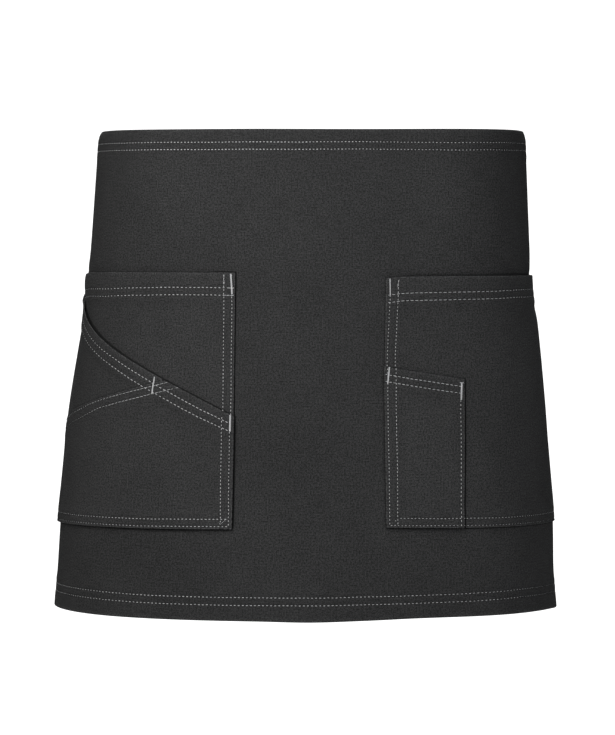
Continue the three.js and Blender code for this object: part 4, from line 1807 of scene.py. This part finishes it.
slide = block(SLIDE["wide"], SLIDE["thick"], SLIDE["tall"], 0)
slide.name = "strap_slide_plate"
slide.data.name = "strap_slide_plate"
slot_x = SLIDE["wide"] / 2 - SLIDE["bar"] - SLIDE["slot"] / 2
for x in (-slot_x, slot_x):
    cutter = block(SLIDE["slot"], SLIDE["thick"] + SLOT_CLEAR, SLIDE["slot_tall"], x)
    bpy.context.view_layer.objects.active = slide
    cut = slide.modifiers.new("slot", "BOOLEAN")
    cut.operation = "DIFFERENCE"
    cut.object = cutter
    bpy.ops.object.modifier_apply(modifier="slot")
    cutter_mesh = cutter.data
    bpy.data.objects.remove(cutter)
    bpy.data.meshes.remove(cutter_mesh)
deselect_all()
slide.select_set(True)
bpy.context.view_layer.objects.active = slide
rounding = slide.modifiers.new("rounding", "BEVEL")
rounding.width = SLIDE_ROUND["wide"] * MM
rounding.segments = SLIDE_ROUND["steps"]
rounding.limit_method = "ANGLE"
bpy.ops.object.modifier_apply(modifier="rounding")
bpy.ops.object.shade_smooth_by_angle(angle=math.radians(SLIDE_ROUND["sharp"]))


SLIDE_COLOURS = ((0.010, 0.010, 0.010), (0.016, 0.016, 0.0165))
SLIDE_LOOK = {"fine": 2600.0, "broad": 160.0, "rough": (0.42, 0.58), "bump": 0.25, "bump_high": 0.0001}


def build_slide_plastic():
    material, tree, shader = new_material("black_slide_plastic")
    place = wire(tree, "ShaderNodeTexCoord", {}, {}).outputs["Object"]
    fine = {"Vector": place, "Scale": SLIDE_LOOK["fine"], "Detail": 2.0}
    fine = wire(tree, "ShaderNodeTexNoise", {}, fine).outputs[0]
    broad = {"Vector": place, "Scale": SLIDE_LOOK["broad"], "Detail": 3.0}
    broad = wire(tree, "ShaderNodeTexNoise", {}, broad).outputs[0]
    tree.links.new(blended(tree, broad, *SLIDE_COLOURS), shader.inputs["Base Color"])
    rough = remap(tree, broad, *NOISE_FROM, *SLIDE_LOOK["rough"])
    tree.links.new(rough, shader.inputs["Roughness"])
    add_bump(tree, shader, SLIDE_LOOK["bump"], SLIDE_LOOK["bump_high"], fine)
    return material


slide.data.materials.append(build_slide_plastic())
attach(slide, "root")
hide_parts("strap_slide")

# Studio
# A pale floor at standing height below the waist, lit up a little for the camera, and a white surround. Soft
# lights stand at the front left, close in front, low on the left, at the front right and behind, and the
# camera is level with the upper panel.

FLOOR = {"drop": 1.0, "reach": 2.4, "sides": 96, "colour": (0.82, 0.82, 0.82, 1), "rough": 0.9, "glow": 0.55}

deselect_all()
bpy.ops.mesh.primitive_circle_add(
    vertices=FLOOR["sides"], radius=FLOOR["reach"], fill_type="NGON", location=(0, 0, -FLOOR["drop"])
)
floor = bpy.context.object
floor.name = "floor"
paint, paint_tree, paint_shader = new_material("pale_floor")
paint_shader.inputs["Base Color"].default_value = FLOOR["colour"]
paint_shader.inputs["Roughness"].default_value = FLOOR["rough"]
paint_shader.inputs["Emission Color"].default_value = (1, 1, 1, 1)
glow = wire(paint_tree, "ShaderNodeLightPath", {}, {}).outputs["Is Camera Ray"]
glow = math_node(paint_tree, "MULTIPLY", glow, FLOOR["glow"])
paint_tree.links.new(glow, paint_shader.inputs["Emission Strength"])
floor.data.materials.append(paint)

AIM = (-0.00214, 0.0, -0.2014)
WHITE = (1.0, 1.0, 1.0)
COOL = (0.95, 0.97, 1.0)
# Each light's place and size in metres, its watts and its colour
LIGHTS = {
    "key": ((-1.1, -1.1, 0.5), 0.9, 7.4, WHITE),
    "close": ((-0.3, -0.8, 0.5), 0.8, 7.6, WHITE),
    "low_left": ((-1.5, -0.15, -0.7), 0.8, 0.8, WHITE),
    "right_fill": ((0.92, -1.43, 0.35), 1.4, 11.6, COOL),
    "behind": ((0.0, 2.5, 1.2), 1.6, 100.0, WHITE),
}
target = bpy.data.objects.new("aim", None)
target.location = AIM
bpy.context.scene.collection.objects.link(target)


def point_at_aim(thing):
    track = thing.constraints.new("TRACK_TO")
    track.target = target
    track.track_axis = "TRACK_NEGATIVE_Z"
    track.up_axis = "UP_Y"


for name, (place, size, watts, colour) in LIGHTS.items():
    lamp = bpy.data.lights.new(name, "AREA")
    lamp.shape = "DISK"
    lamp.size = size
    lamp.energy = watts
    lamp.color = colour
    light = bpy.data.objects.new(name, lamp)
    light.location = place
    bpy.context.scene.collection.objects.link(light)
    point_at_aim(light)

AMBIENT = 0.01
SURROUND = 1.3
world = bpy.data.worlds.new("white_surround")
world.use_nodes = True
bpy.context.scene.world = world
tree = world.node_tree
tree.nodes.clear()
seen = wire(tree, "ShaderNodeBackground", {}, {"Color": (1, 1, 1, 1), "Strength": SURROUND})
shed = wire(tree, "ShaderNodeBackground", {}, {"Color": (1, 1, 1, 1), "Strength": AMBIENT})
ray = wire(tree, "ShaderNodeLightPath", {}, {}).outputs["Is Camera Ray"]
both = wire(tree, "ShaderNodeMixShader", {}, {0: ray, 1: shed.outputs[0], 2: seen.outputs[0]})
wire(tree, "ShaderNodeOutputWorld", {}, {0: both.outputs[0]})
bpy.context.scene.view_settings.view_transform = "Standard"

FOCAL_PIXELS = 3615.85
FRAME_TALL = 735
CAMERA_PLACE = (0.0, -3.1, -0.09035)
eye = bpy.data.cameras.new("camera")
eye.sensor_width = 36.0
eye.lens = FOCAL_PIXELS * eye.sensor_width / FRAME_TALL
camera = bpy.data.objects.new("camera", eye)
camera.location = CAMERA_PLACE
bpy.context.scene.collection.objects.link(camera)
point_at_aim(camera)
bpy.context.scene.camera = camera
